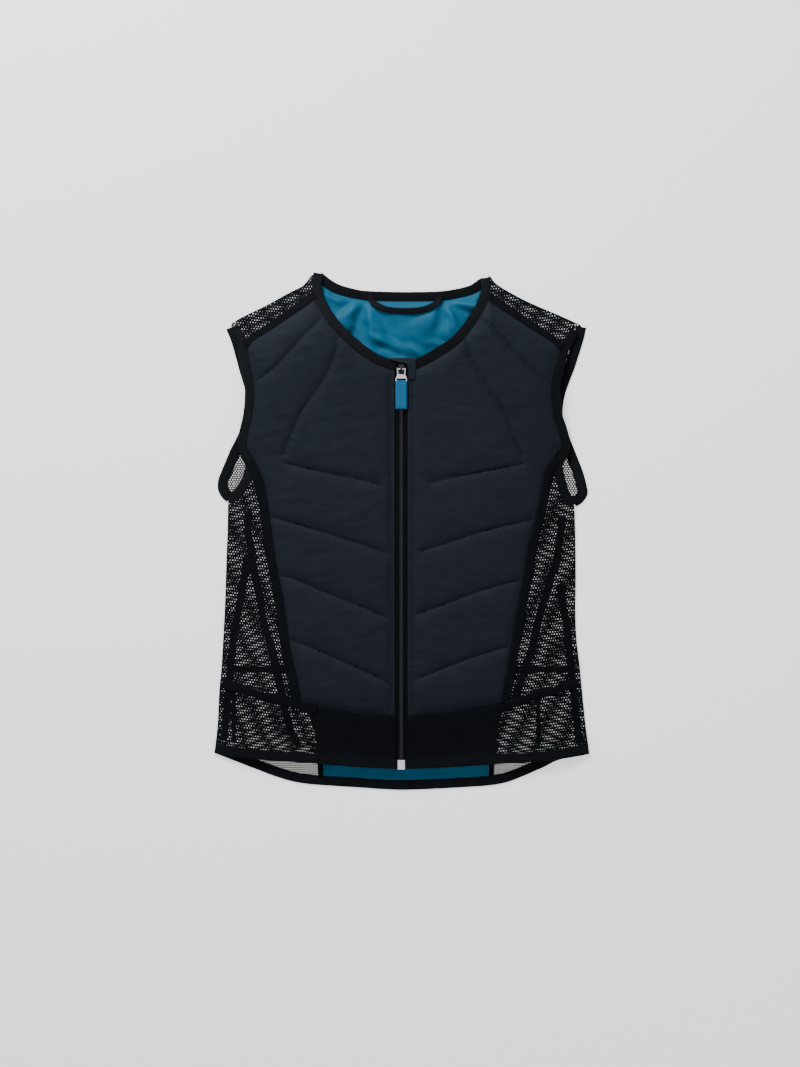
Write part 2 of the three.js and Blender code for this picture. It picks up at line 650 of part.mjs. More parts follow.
function backSide(side) {
  const outward = outwardOf[side];
  const { armholeBack, side: fold } = edges[side];
  const binding = armholeBack[armholeBack.length - 1].y;
  const seam = shift(lines.backSeam[side], outward * GAP);
  const [top, seamEnd] = [seam[1].y, seam[seam.length - 1].y];
  const foldEnd = yAt(backHemEdge, outward * HALF_WIDTH);
  const steps = [0, 0.06, 0.12, 0.18, 0.25, 0.35, 0.45, 0.55, 0.65, 0.75, 0.85, 0.93, 1];
  const inner = steps.map((step) => onLine(seam, top + (seamEnd - top) * step));
  const outer = steps.map((step) => {
    const y = top + (foldEnd - top) * step;
    return onLine(y > binding ? armholeBack : fold, y);
  });
  const flat = patch({ inner, outer, columns: 4, margin: GUSSET_TAPE, last: backHemEdge });
  const net = raise(flat, backNetUnderside, NET_THICKNESS);
  addCloth(`back_side_net_${side}`, net, 'net', cutters.back);
  addCloth(`back_side_tape_${side}`, layer(net, 0, 2, TAPE_THICKNESS), 'binding', cutters.back);

  const onNet = (layers) => (x, y) => {
    return backNetUnderside(x, y) + NET_THICKNESS + GAP + layers * (TAPE_THICKNESS + GAP);
  };
  const tapes = [
    ['gusset_long_tape', gussetLong, 0], ['gusset_short_tape', gussetShort, 0],
    ['back_waist_tape', backWaist, 1], ['lower_seam_tape', lowerSeam, 0],
  ];
  for (const [name, table, layers] of tapes) {
    const tape = strip(lineOf(table[side], 2), GUSSET_TAPE, onNet(layers), TAPE_THICKNESS);
    addCloth(`${name}_${side}`, tape, 'binding');
  }
}

function backEdges() {
  const ground = () => 0;
  addCloth('hem_binding_back', strip(backHemMiddle, HEM_BINDING, ground, BINDING_THICKNESS), 'binding');
  addCloth('neck_binding_back', strip(backNeckLine, NECK_BINDING, ground, BINDING_THICKNESS), 'binding');
  const onLining = () => BACK_PUFF + GAP + LINING_THICKNESS + GAP;
  addCloth('hanger_loop', strip(lineOf(hangerLoop), LOOP_WIDTH, onLining, LOOP_THICKNESS), 'binding');
}

// Zip

const hemY = yAt(lines.frontHem.left, 0);
const zipBase = frontUnderside(ZIP_AXIS, HINGE * LENGTH);

function zip() {
  const rows = 20;
  const bottom = hemY + HEM_BINDING + 2 * GAP;
  const column = (x, top) => Array.from({ length: rows + 1 }, (_, index) => {
    return new THREE.Vector2(ZIP_AXIS + x, top + ((bottom - top) * index) / rows);
  });
  const between = (from, to, top, thickness) => {
    const [first, second] = [column(from, top), column(to, top)];
    return raise(first.map((point, index) => [point, second[index]]), frontUnderside, thickness);
  };
  for (const side of SIDES) {
    const outward = outwardOf[side];
    const beside = outward * (TEETH_WIDTH / 2 + GAP);
    const tape = between(beside, outward * ZIP_TAPE_EDGE, ZIP_TOP * LENGTH, ZIP_TAPE_THICKNESS);
    addCloth(`zip_tape_${side}`, tape, 'binding');
  }
  const half = TEETH_WIDTH / 2;
  addCloth('zip_teeth', between(-half, half, HINGE * LENGTH, TEETH_HEIGHT), 'blackMetal');
}

function bottomStop() {
  const base = frontUnderside(ZIP_AXIS, hemY + HEM_BINDING / 2);
  let stop = solidOf(block(STOP_WIDTH, HEM_BINDING, STOP_HEIGHT, ZIP_AXIS, hemY + HEM_BINDING / 2, base));
  const floor = base + STOP_HEIGHT - STOP_GROOVE;
  for (const share of [0.3, 0.5, 0.7]) {
    const y = hemY + HEM_BINDING * share;
    stop = stop.subtract(solidOf(block(STOP_WIDTH * 2, STOP_GROOVE, STOP_GROOVE * 2, ZIP_AXIS, y, floor)));
  }
  add('zip_bottom_stop', geometryOf(stop), 'bareMetal');
}

const plateBase = zipBase + TEETH_HEIGHT + GAP;
const hingeHeight = plateBase + SLIDER_PLATE + HINGE_PLAY + HINGE_PIN / 2;

function slider() {
  const [half, end] = [SLIDER_WIDTH / 2, SLIDER_LENGTH / 2];
  const nose = half - SLIDER_NOSE / 2;
  const top = plate([
    [-half, end - SLIDER_NOSE], [-nose, end], [nose, end], [half, end - SLIDER_NOSE],
    [half, -end + SLIDER_CORNER], [half - SLIDER_CORNER, -end],
    [-half + SLIDER_CORNER, -end], [-half, -end + SLIDER_CORNER],
  ], SLIDER_PLATE, plateBase);
  const flangeFoot = zipBase + ZIP_TAPE_THICKNESS + GAP;
  const wall = half - TEETH_WIDTH / 2 - GAP;
  const flange = (outward) => {
    const x = outward * (half - wall / 2);
    const length = SLIDER_LENGTH - SLIDER_NOSE - SLIDER_CORNER;
    const height = plateBase + SLIDER_PLATE / 2 - flangeFoot;
    return block(wall, length, height, x, (SLIDER_CORNER - SLIDER_NOSE) / 2, flangeFoot);
  };
  const reach = BRIDGE_LENGTH / 2;
  const hole = HINGE_PIN / 2 + HINGE_PLAY;
  const foot = plateBase + SLIDER_PLATE / 2;
  const shoulderHeight = plateBase + SLIDER_PLATE + BRIDGE_WALL;
  const ceiling = hingeHeight + hole;
  const bridge = profileAlongX([
    [-reach, foot], [-reach, shoulderHeight], [-reach + BRIDGE_WALL, ceiling + BRIDGE_WALL / 2],
    [-reach + 2 * BRIDGE_WALL, ceiling + BRIDGE_WALL], [reach - 2 * BRIDGE_WALL, ceiling + BRIDGE_WALL],
    [reach - BRIDGE_WALL, ceiling + BRIDGE_WALL / 2], [reach, shoulderHeight], [reach, foot],
    [hole, foot], [hole, ceiling], [-hole, ceiling], [-hole, foot],
  ], BRIDGE_WIDTH);
  let body = solidOf(top).add(solidOf(bridge));
  for (const outward of [-1, 1]) body = body.add(solidOf(flange(outward)));
  const mesh = add('zip_slider', geometryOf(body), 'blackMetal');
  mesh.position.set(ZIP_AXIS, HINGE * LENGTH, 0);
}

// The puller is drawn around its hinge, with its free end towards -Y
function puller() {
  const arm = BAIL_TOP_WIDTH / 2;
  const [neckY, endY] = [-BAIL_LENGTH / 2, -BAIL_LENGTH];
  const pin = HINGE_PIN / 2;
  const inside = arm - BAIL_ARM;
  const half = BAIL_WIDTH / 2;
  const outline = plate([
    [-arm, pin], [-arm, neckY], [-half, endY + BAIL_CORNER], [-half, endY],
    [half, endY], [half, endY + BAIL_CORNER], [arm, neckY], [arm, pin],
    [inside, pin], [inside, neckY], [-inside, neckY], [-inside, pin],
  ], BAIL_THICKNESS, -BAIL_THICKNESS / 2);
  const slotY = endY + BAIL_BAR + BAIL_SLOT / 2;
  const slot = block(BAIL_SLOT_WIDTH, BAIL_SLOT, BAIL_THICKNESS * 2, 0, slotY, -BAIL_THICKNESS);
  const rod = new THREE.CylinderGeometry(pin, pin, arm + inside, 12).rotateZ(Math.PI / 2);
  const bail = solidOf(outline).subtract(solidOf(slot)).add(solidOf(rod));

  const start = endY - GAP;
  const ribs = Math.round(TAB_LENGTH / TAB_RIB_PITCH);
  const upper = [];
  for (let rib = 0; rib < ribs; rib += 1) {
    const y = start - (TAB_LENGTH * rib) / ribs;
    const pitch = TAB_LENGTH / ribs;
    const crest = TAB_THICKNESS / 2 + TAB_RIB;
    upper.push([y, TAB_THICKNESS / 2], [y - pitch / 4, crest], [y - (pitch * 3) / 4, crest]);
  }
  upper.push([start - TAB_LENGTH, TAB_THICKNESS / 2]);
  const lower = [[start - TAB_LENGTH, -TAB_THICKNESS / 2], [start, -TAB_THICKNESS / 2]];
  const body = profileAlongX([...upper, ...lower], TAB_WIDTH);
  const room = BAIL_THICKNESS / 2 + GAP;
  const grip = room + SLEEVE_WALL;
  const sleeveTop = endY + BAIL_BAR + BAIL_SLOT - GAP;
  const sleeveWidth = BAIL_SLOT_WIDTH - 3 * GAP;
  const sleeveLength = sleeveTop - start + SLEEVE_OVERLAP;
  const sleeve = block(sleeveWidth, sleeveLength, grip * 2, 0, sleeveTop - sleeveLength / 2, -grip);
  const tunnelLength = BAIL_BAR + 2 * GAP;
  const tunnel = block(TAB_WIDTH, tunnelLength, room * 2, 0, endY + BAIL_BAR / 2, -room);
  const tab = solidOf(body).add(solidOf(sleeve)).subtract(solidOf(tunnel));

  const group = new THREE.Group();
  add('puller_bail', geometryOf(bail), 'bareMetal', group);
  add('puller_tab', geometryOf(tab), 'tab', group);
  const restHeight = zipBase + TEETH_HEIGHT + GAP + TAB_THICKNESS / 2;
  group.rotation.x = Math.asin((hingeHeight - restHeight) / (BAIL_LENGTH + TAB_LENGTH));
  group.position.set(ZIP_AXIS, HINGE * LENGTH, hingeHeight);
  vest.add(group);
}

function garage() {
  const half = GARAGE_LENGTH / 2;
  const nose = SLIDER_LENGTH / 2;
  const inner = GARAGE_REACH - GARAGE_LIP;
  const flap = plate([
    [-half, half], [-half, nose * 2], [-SLIDER_WIDTH / 3, nose * 1.4], [inner / 2, nose * 1.25],
    [inner * 0.9, nose * 0.75], [inner * 1.13, -nose * 0.85], [inner * 1.25, -half],
    [GARAGE_REACH, -half], [GARAGE_REACH, half],
  ], GARAGE_THICKNESS, zipBase + BINDING_THICKNESS + GAP);
  const mesh = add('zip_garage', flap, 'binding');
  mesh.position.set(ZIP_AXIS, HINGE * LENGTH, 0);
}

for (const side of SIDES) {
  frontPanel(side);
  frontSideNet(side);
  frontHem(side);
  shoulder(side);
  bindings(side);
  backSide(side);
}
backPanel();
backEdges();
zip();
bottomStop();
slider();
puller();
garage();

// The origin is the middle of the vest's footprint, on the surface that it lies on
const footprint = new THREE.Box3().setFromObject(vest).getCenter(new THREE.Vector3());
vest.position.set(-footprint.x, -footprint.y, 0);

const part = new THREE.Group();
part.add(vest);

export default part;
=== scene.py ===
"""A quilted cooling vest lying flat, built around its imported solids: padded panels, nets, bindings and a zip.

Metres. The zip runs along Y with the neck at +Y, the front faces +Z and the back lies on the floor.
"""
import logging
import math
from collections.abc import Callable, Sequence
from dataclasses import dataclass, field
from enum import Enum

import bmesh
import bpy
import numpy as np
from mathutils import Matrix, Vector, noise
from mathutils.bvhtree import BVHTree


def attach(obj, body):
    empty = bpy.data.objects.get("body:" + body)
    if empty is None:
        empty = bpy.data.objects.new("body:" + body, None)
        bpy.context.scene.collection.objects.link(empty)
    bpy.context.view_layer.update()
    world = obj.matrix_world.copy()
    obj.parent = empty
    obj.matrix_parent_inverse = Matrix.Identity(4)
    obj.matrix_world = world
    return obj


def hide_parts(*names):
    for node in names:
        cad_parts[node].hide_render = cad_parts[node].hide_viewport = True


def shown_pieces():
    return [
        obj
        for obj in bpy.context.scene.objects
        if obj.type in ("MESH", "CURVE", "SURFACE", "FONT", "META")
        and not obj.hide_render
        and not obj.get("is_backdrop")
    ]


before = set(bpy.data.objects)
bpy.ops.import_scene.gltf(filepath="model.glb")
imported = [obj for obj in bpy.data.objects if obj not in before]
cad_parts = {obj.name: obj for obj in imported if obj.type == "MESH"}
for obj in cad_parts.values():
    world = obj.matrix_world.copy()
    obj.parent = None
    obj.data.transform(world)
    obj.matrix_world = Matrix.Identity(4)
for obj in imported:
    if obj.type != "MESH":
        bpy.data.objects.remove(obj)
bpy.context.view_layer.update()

log = logging.getLogger("vest")

Array = np.ndarray
Line = Array
Height = Callable[[Array, Array], Array]
Pairs = Sequence[tuple[float, float]]

MM = 0.001
HALF_WIDTH = 0.241
LENGTH = 0.667
MIDDLE = 0.3324  # from the lowest point of the hem to the origin, along Y
CHEST_RISE = 0.022
SIDES = ("left", "right")
OUTWARD = {"left": -1.0, "right": 1.0}

SEAM_HALF = 0.9 * MM  # half the thickness of a folded edge
CLOTH_HALF = 0.4 * MM  # half the thickness of a panel's edge inside its binding
FOLD_HEIGHT = 2.1 * MM
SHOULDER_EASE = 0.1
HEM_EASE = 0.12
HEM_SHARE = 0.5
SIDE_ROUNDNESS = 4
ZIP_AXIS = -0.8 * MM
FRONT_EDGE = 8 * MM  # zip line to the fold of each front half
ARMHOLE_BINDING = 12 * MM
NECK_BINDING = 12.5 * MM
HEM_BINDING = 12.5 * MM
ZIP_TOP = 0.8035
HINGE = 0.8086
HINGE_HEIGHT = 29.75 * MM

# Seams and edges. Columns: share of HALF_WIDTH from the middle, share of LENGTH from the hem.
SEAMS: dict[str, dict[str, Pairs]] = {
    "neck": {
        "left": [(-0.444, 0.995), (-0.453, 0.975), (-0.445, 0.952), (-0.395, 0.916), (-0.32, 0.882),
                 (-0.224, 0.85), (-0.133, 0.828), (-0.033, 0.8135)],
        "right": [(0.443, 0.986), (0.448, 0.965), (0.436, 0.947), (0.402, 0.92), (0.345, 0.889),
                  (0.281, 0.863), (0.193, 0.841), (0.09, 0.8205), (0.024, 0.8135)],
    },
    "armhole_front": {
        "left": [(-0.884, 0.886), (-0.854, 0.865), (-0.838, 0.83), (-0.814, 0.782), (-0.811, 0.753),
                 (-0.822, 0.718), (-0.845, 0.682), (-0.849, 0.66), (-0.825, 0.641), (-0.809, 0.624),
                 (-0.822, 0.603), (-0.865, 0.576), (-0.92, 0.555)],
        "right": [(0.92, 0.884), (0.872, 0.854), (0.848, 0.826), (0.827, 0.797), (0.816, 0.772),
                  (0.826, 0.726), (0.856, 0.693), (0.872, 0.664), (0.856, 0.645), (0.832, 0.626),
                  (0.845, 0.597), (0.869, 0.572), (0.912, 0.548)],
    },
    "armhole_back": {
        "left": [(-0.91, 0.891), (-0.878, 0.861), (-0.841, 0.812), (-0.807, 0.767), (-0.811, 0.735),
                 (-0.834, 0.696), (-0.853, 0.676), (-0.889, 0.651), (-0.926, 0.619), (-0.951, 0.597),
                 (-0.954, 0.581), (-0.937, 0.569), (-0.918, 0.563)],
        "right": [(0.956, 0.892), (0.941, 0.869), (0.9, 0.821), (0.845, 0.766), (0.83, 0.726),
                  (0.845, 0.698), (0.882, 0.663), (0.915, 0.633), (0.943, 0.606), (0.959, 0.583),
                  (0.963, 0.571), (0.941, 0.56), (0.917, 0.555)],
    },
    "shoulder_fold": {
        "left": [(-0.932, 0.893), (-0.854, 0.91), (-0.719, 0.934), (-0.598, 0.958), (-0.528, 0.971),
                 (-0.479, 0.992)],
        "right": [(0.978, 0.893), (0.925, 0.9), (0.82, 0.917), (0.708, 0.934), (0.596, 0.954),
                  (0.502, 0.975), (0.471, 0.99)],
    },
    "side_seam": {
        "left": [(-0.828, 0.66), (-0.797, 0.641), (-0.758, 0.611), (-0.729, 0.581), (-0.705, 0.525),
                 (-0.668, 0.433), (-0.627, 0.359), (-0.594, 0.271), (-0.555, 0.211), (-0.537, 0.17)],
        "right": [(0.864, 0.664), (0.816, 0.644), (0.78, 0.623), (0.755, 0.599), (0.722, 0.537),
                  (0.679, 0.477), (0.647, 0.41), (0.606, 0.33), (0.559, 0.231), (0.527, 0.168)],
    },
    "back_seam": {
        "left": [(-0.806, 0.662), (-0.747, 0.612), (-0.705, 0.554), (-0.651, 0.433), (-0.587, 0.315),
                 (-0.528, 0.211), (-0.462, 0.14), (-0.428, 0.1), (-0.418, 0.024)],
        "right": [(0.845, 0.658), (0.786, 0.612), (0.727, 0.55), (0.679, 0.454), (0.615, 0.329),
                  (0.557, 0.211), (0.497, 0.14), (0.472, 0.1), (0.462, 0.024)],
    },
    "side_fold": {
        "left": [(-0.926, 0.564), (-0.929, 0.507), (-0.935, 0.448), (-0.943, 0.359), (-0.953, 0.29),
                 (-0.962, 0.235), (-0.973, 0.194), (-0.983, 0.123), (-1, 0.071)],
        "right": [(0.919, 0.552), (0.925, 0.483), (0.927, 0.404), (0.925, 0.344), (0.931, 0.29),
                  (0.947, 0.242), (0.96, 0.194), (0.979, 0.126), (1, 0.069)],
    },
    "waist": {
        "left": [(-0.968, 0.215), (-0.888, 0.205), (-0.779, 0.194), (-0.67, 0.183), (-0.539, 0.171),
                 (-0.443, 0.161), (-0.325, 0.155), (-0.224, 0.148), (-0.026, 0.144)],
        "right": [(0.955, 0.217), (0.881, 0.209), (0.799, 0.199), (0.722, 0.192), (0.631, 0.181),
                  (0.535, 0.169), (0.41, 0.162), (0.273, 0.152), (0.138, 0.147), (0.022, 0.144)],
    },
    "front_hem": {
        "left": [(-1, 0.071), (-0.795, 0.06), (-0.624, 0.056), (-0.459, 0.052), (-0.224, 0.045),
                 (0.001, 0.041)],
        "right": [(1, 0.069), (0.845, 0.06), (0.674, 0.054), (0.508, 0.051), (0.257, 0.045), (0.001, 0.041)],
    },
}
BACK_NECK: Pairs = [(-0.432, 0.986), (-0.368, 0.969), (-0.293, 0.959), (-0.186, 0.952), (0.001, 0.95),
                    (0.193, 0.951), (0.295, 0.956), (0.375, 0.964), (0.426, 0.976)]
BACK_HEM: Pairs = [(-1, 0.071), (-0.892, 0.056), (-0.779, 0.04), (-0.666, 0.025), (-0.569, 0.015),
                   (-0.464, 0.01), (-0.256, 0.005), (0.001, 0), (0.332, 0.005), (0.498, 0.01), (0.596, 0.019),
                   (0.746, 0.042), (0.824, 0.056), (0.898, 0.063), (1, 0.069)]
HANGER_LOOP: Pairs = [(-0.17, 0.9535), (-0.167, 0.948), (-0.152, 0.938), (-0.105, 0.9275), (-0.045, 0.9225),
                      (0.017, 0.9215), (0.08, 0.9225), (0.14, 0.9275), (0.187, 0.938),
                      (0.203, 0.948), (0.207, 0.9535)]
GUSSET_LONG = {
    "left": [(-0.819, 0.537), (-0.818, 0.493), (-0.761, 0.374), (-0.729, 0.315), (-0.678, 0.251),
             (-0.638, 0.174), (-0.598, 0.12), (-0.55, 0.084)],
    "right": [(0.856, 0.529), (0.84, 0.477), (0.818, 0.433), (0.786, 0.4), (0.733, 0.33),
              (0.674, 0.251), (0.605, 0.176)],
}
GUSSET_SHORT = {
    "left": [(-0.825, 0.45), (-0.85, 0.386), (-0.885, 0.319), (-0.905, 0.265), (-0.922, 0.2), (-0.935, 0.15),
             (-0.95, 0.095)],
    "right": [(0.845, 0.395), (0.862, 0.35), (0.885, 0.3), (0.896, 0.25), (0.912, 0.2), (0.928, 0.15),
              (0.945, 0.09)],
}
BACK_WAIST = {"left": [(-0.925, 0.232), (-0.56, 0.232)], "right": [(0.915, 0.232), (0.56, 0.232)]}
LOWER_SEAM = {"left": [(-0.896, 0.209), (-0.896, 0.09)], "right": [(0.727, 0.19), (0.727, 0.085)]}
BAND_EDGE = {"left": -0.454, "right": 0.507}
UNDERARM = {"left": 0.631, "right": 0.636}
NETTED_ARMHOLE = "right"  # where the back shows beyond the front's edge

# Where rows of cloth meet the armhole or side, and where they meet the neck or zip, as shares of LENGTH
ROW_ENDS: dict[str, Pairs] = {
    "left": [(0.857, 0.948), (0.753, 0.85), (0.691, 0.806), (0.664, 0.753), (0.647, 0.666), (0.63, 0.579),
             (0.531, 0.452), (0.415, 0.329), (0.291, 0.209), (0.1715, 0.144)],
    "right": [(0.852, 0.947), (0.753, 0.85), (0.693, 0.806), (0.666, 0.753), (0.651, 0.668), (0.635, 0.583),
              (0.522, 0.452), (0.405, 0.332), (0.28, 0.208), (0.168, 0.144)],
}
# Stitched channels of the front, in the same shares as the seams
CHANNELS: dict[str, list[Pairs]] = {
    "left": [
        [(-0.621, 0.629), (-0.509, 0.618), (-0.359, 0.607), (-0.216, 0.596), (-0.119, 0.587)],
        [(-0.719, 0.527), (-0.599, 0.516), (-0.434, 0.498), (-0.284, 0.481), (-0.081, 0.456)],
        [(-0.66, 0.414), (-0.555, 0.404), (-0.404, 0.381), (-0.24, 0.357), (-0.059, 0.33)],
        [(-0.6, 0.291), (-0.479, 0.275), (-0.329, 0.251), (-0.194, 0.229), (-0.066, 0.208)],
        [(-0.4, 0.916), (-0.53, 0.87), (-0.665, 0.816), (-0.79, 0.781)],
        [(-0.335, 0.872), (-0.37, 0.82), (-0.445, 0.772), (-0.54, 0.722), (-0.6, 0.672), (-0.628, 0.645)],
    ],
    "right": [
        [(0.153, 0.591), (0.303, 0.603), (0.521, 0.618), (0.64, 0.627)],
        [(0.105, 0.46), (0.22, 0.473), (0.371, 0.491), (0.521, 0.506), (0.7, 0.521)],
        [(0.08, 0.339), (0.22, 0.357), (0.371, 0.378), (0.521, 0.395), (0.64, 0.404)],
        [(0.066, 0.213), (0.198, 0.232), (0.333, 0.251), (0.468, 0.267), (0.585, 0.28)],
        [(0.408, 0.913), (0.535, 0.869), (0.67, 0.815), (0.791, 0.78)],
        [(0.325, 0.872), (0.341, 0.856), (0.378, 0.818), (0.453, 0.772), (0.543, 0.723), (0.603, 0.674),
         (0.64, 0.645)],
    ],
}
BACK_CHANNELS: list[Pairs] = [
    [(-0.186, 0.94), (-0.264, 0.884), (-0.4, 0.79), (-0.55, 0.7), (-0.72, 0.612)],
    [(0.22, 0.94), (0.273, 0.888), (0.41, 0.79), (0.56, 0.7), (0.75, 0.612)],
    [(-0.62, 0.55), (-0.3, 0.49), (0.01, 0.46), (0.33, 0.49), (0.66, 0.55)],
    [(-0.6, 0.43), (-0.3, 0.37), (0.01, 0.34), (0.33, 0.37), (0.63, 0.43)],
    [(-0.53, 0.31), (-0.3, 0.25), (0.01, 0.22), (0.33, 0.25), (0.56, 0.31)],
    [(-0.46, 0.18), (-0.3, 0.14), (0.01, 0.115), (0.33, 0.14), (0.49, 0.18)],
]


class Profile(Enum):
    """How a strip of cloth looks in section."""

    FLAT = "flat"
    FOLDED = "folded"


class Weave(Enum):
    """How a cloth's yarns lie."""

    PLAIN = "plain"
    KNIT = "knit"
    HERRINGBONE = "herringbone"
    RIB = "rib"


# Lines in the plane of the cloth


def spline(points: Pairs, steps: int = 12) -> Line:
    """A smooth line through points that are given as shares.

    Args:
        points: shares of HALF_WIDTH and LENGTH.
        steps: pieces between two neighbours.

    Returns:
        The line's points, in metres.
    """
    p = np.array([(x * HALF_WIDTH, y * LENGTH - MIDDLE) for x, y in points])
    t = np.linspace(0, 1, steps, endpoint=False)[:, None]
    out = []
    for i in range(len(p) - 1):
        before, start, stop, after = p[max(i - 1, 0)], p[i], p[i + 1], p[min(i + 2, len(p) - 1)]
        leave, arrive = (stop - before) / 2, (after - start) / 2
        bent = 2 * start - 2 * stop + leave + arrive
        out.append(bent * t**3 + (3 * stop - 3 * start - 2 * leave - arrive) * t**2 + leave * t + start)
    return np.concatenate([*out, p[-1:]])


def normals(line: Line) -> Array:
    """The unit normals to the left of a line's direction of travel."""
    before = np.concatenate([line[:1], line[:-1]])
    after = np.concatenate([line[1:], line[-1:]])
    along = after - before
    along /= np.maximum(np.linalg.norm(along, axis=1), 1e-9)[:, None]
    return np.stack([-along[:, 1], along[:, 0]], axis=1)


def shift(line: Line, distance: float) -> Line:
    """A line moved to its left."""
    return line + normals(line) * distance


def length_along(line: Line) -> Array:
    """How far each point of a line lies from its start."""
    return np.concatenate([[0.0], np.cumsum(np.linalg.norm(np.diff(line, axis=0), axis=1))])


def even(line: Line, pitch: float) -> Line:
    """A line with its points a pitch apart."""
    run = length_along(line)
    count = max(2, int(round(run[-1] / pitch)) + 1)
    at = np.linspace(0, run[-1], count)
    return np.stack([np.interp(at, run, line[:, 0]), np.interp(at, run, line[:, 1])], axis=1)


def x_at(line: Line, y: Array | float) -> Array:
    """Where a line that runs along Y crosses a height y."""
    order = np.argsort(line[:, 1])
    return np.interp(y, line[order, 1], line[order, 0])


def y_at(line: Line, x: Array | float) -> Array:
    """Where a line that runs along X crosses a given x."""
    order = np.argsort(line[:, 0])
    return np.interp(x, line[order, 0], line[order, 1])


def between(line: Line, low: float, high: float, axis: int) -> Line:
    """The part of a line whose coordinate on an axis lies between two values."""
    low, high = max(low, line[:, axis].min()), min(high, line[:, axis].max())
    kept = line[(line[:, axis] > low + 1e-5) & (line[:, axis] < high - 1e-5)]
    ends = []
    for value in (low, high):
        other = y_at(line, value) if axis == 0 else x_at(line, value)
        ends.append([value, other] if axis == 0 else [other, value])
    if line[0, axis] > line[-1, axis]:
        ends.reverse()
    return np.concatenate([[ends[0]], kept, [ends[1]]])


def meeting(down: Line, across: Line) -> Array:
    """Where a line that runs down meets one that runs across."""
    y = across[0, 1]
    for _ in range(12):
        y = float(y_at(across, x_at(down, y)))
    return np.array([x_at(down, y), y])


def nearest(points: Array, line: Line) -> tuple[Array, Array, Array]:
    """The nearest place on a line for each of many points.

    Args:
        points: N points in the plane.
        line: the line's points.

    Returns:
        The distances, how far along the line each nearest place is, and the places.
    """
    best = np.full(len(points), np.inf)
    where = np.zeros(len(points))
    place = np.zeros((len(points), 2))
    run = length_along(line)
    for i in range(len(line) - 1):
        start, step = line[i], line[i + 1] - line[i]
        square = float(step @ step) or 1e-12
        t = np.clip((points - start) @ step / square, 0, 1)
        foot = start + t[:, None] * step
        away = np.linalg.norm(points - foot, axis=1)
        closer = away < best
        best[closer], place[closer] = away[closer], foot[closer]
        where[closer] = (run[i] + t * math.sqrt(square))[closer]
    return best, where, place


def inside(points: Array, outline: Line) -> Array:
    """True for each point that lies inside a closed outline."""
    x, y = points[:, 0], points[:, 1]
    result = np.zeros(len(points), dtype=bool)
    for start, stop in zip(outline, np.roll(outline, -1, axis=0)):
        if start[1] == stop[1]:
            continue
        crosses = (start[1] > y) != (stop[1] > y)
        result ^= crosses & (x < start[0] + (y - start[1]) * (stop[0] - start[0]) / (stop[1] - start[1]))
    return result


def area_of(outline: Line) -> float:
    """The area inside a closed outline."""
    x, y = outline[:, 0], outline[:, 1]
    return abs(float(x @ np.roll(y, -1) - y @ np.roll(x, -1))) / 2


def cut_of(outline: Line) -> tuple[float, float]:
    """The sides of the smallest rectangle that an outline can be cut from."""
    turns = np.radians(np.arange(0, 90, 2))
    across = outline @ np.stack([np.cos(turns), np.sin(turns)])
    along = outline @ np.stack([-np.sin(turns), np.cos(turns)])
    widths, lengths = np.ptp(across, axis=0), np.ptp(along, axis=0)
    best = int(np.argmin(widths * lengths))
    return float(widths[best]), float(lengths[best])


def smooth(value: Array) -> Array:
    """Eases from 0 to 1."""
    t = np.clip(value, 0, 1)
    return t * t * (3 - 2 * t)


def ripple(x: Array, y: Array, size: float, seed: float = 0.0, octaves: int = 2) -> Array:
    """Soft unevenness between about -1 and 1.

    Args:
        x: first coordinates.
        y: second coordinates.
        size: how wide a bump is.
        seed: moves the pattern.
        octaves: how many finer layers it has.

    Returns:
        One value for each point.
    """
    flat = zip(np.ravel(x), np.ravel(y))
    values = [noise.fractal((a / size, b / size, seed), 1.0, 2.0, octaves) for a, b in flat]
    return np.array(values).reshape(np.shape(x))


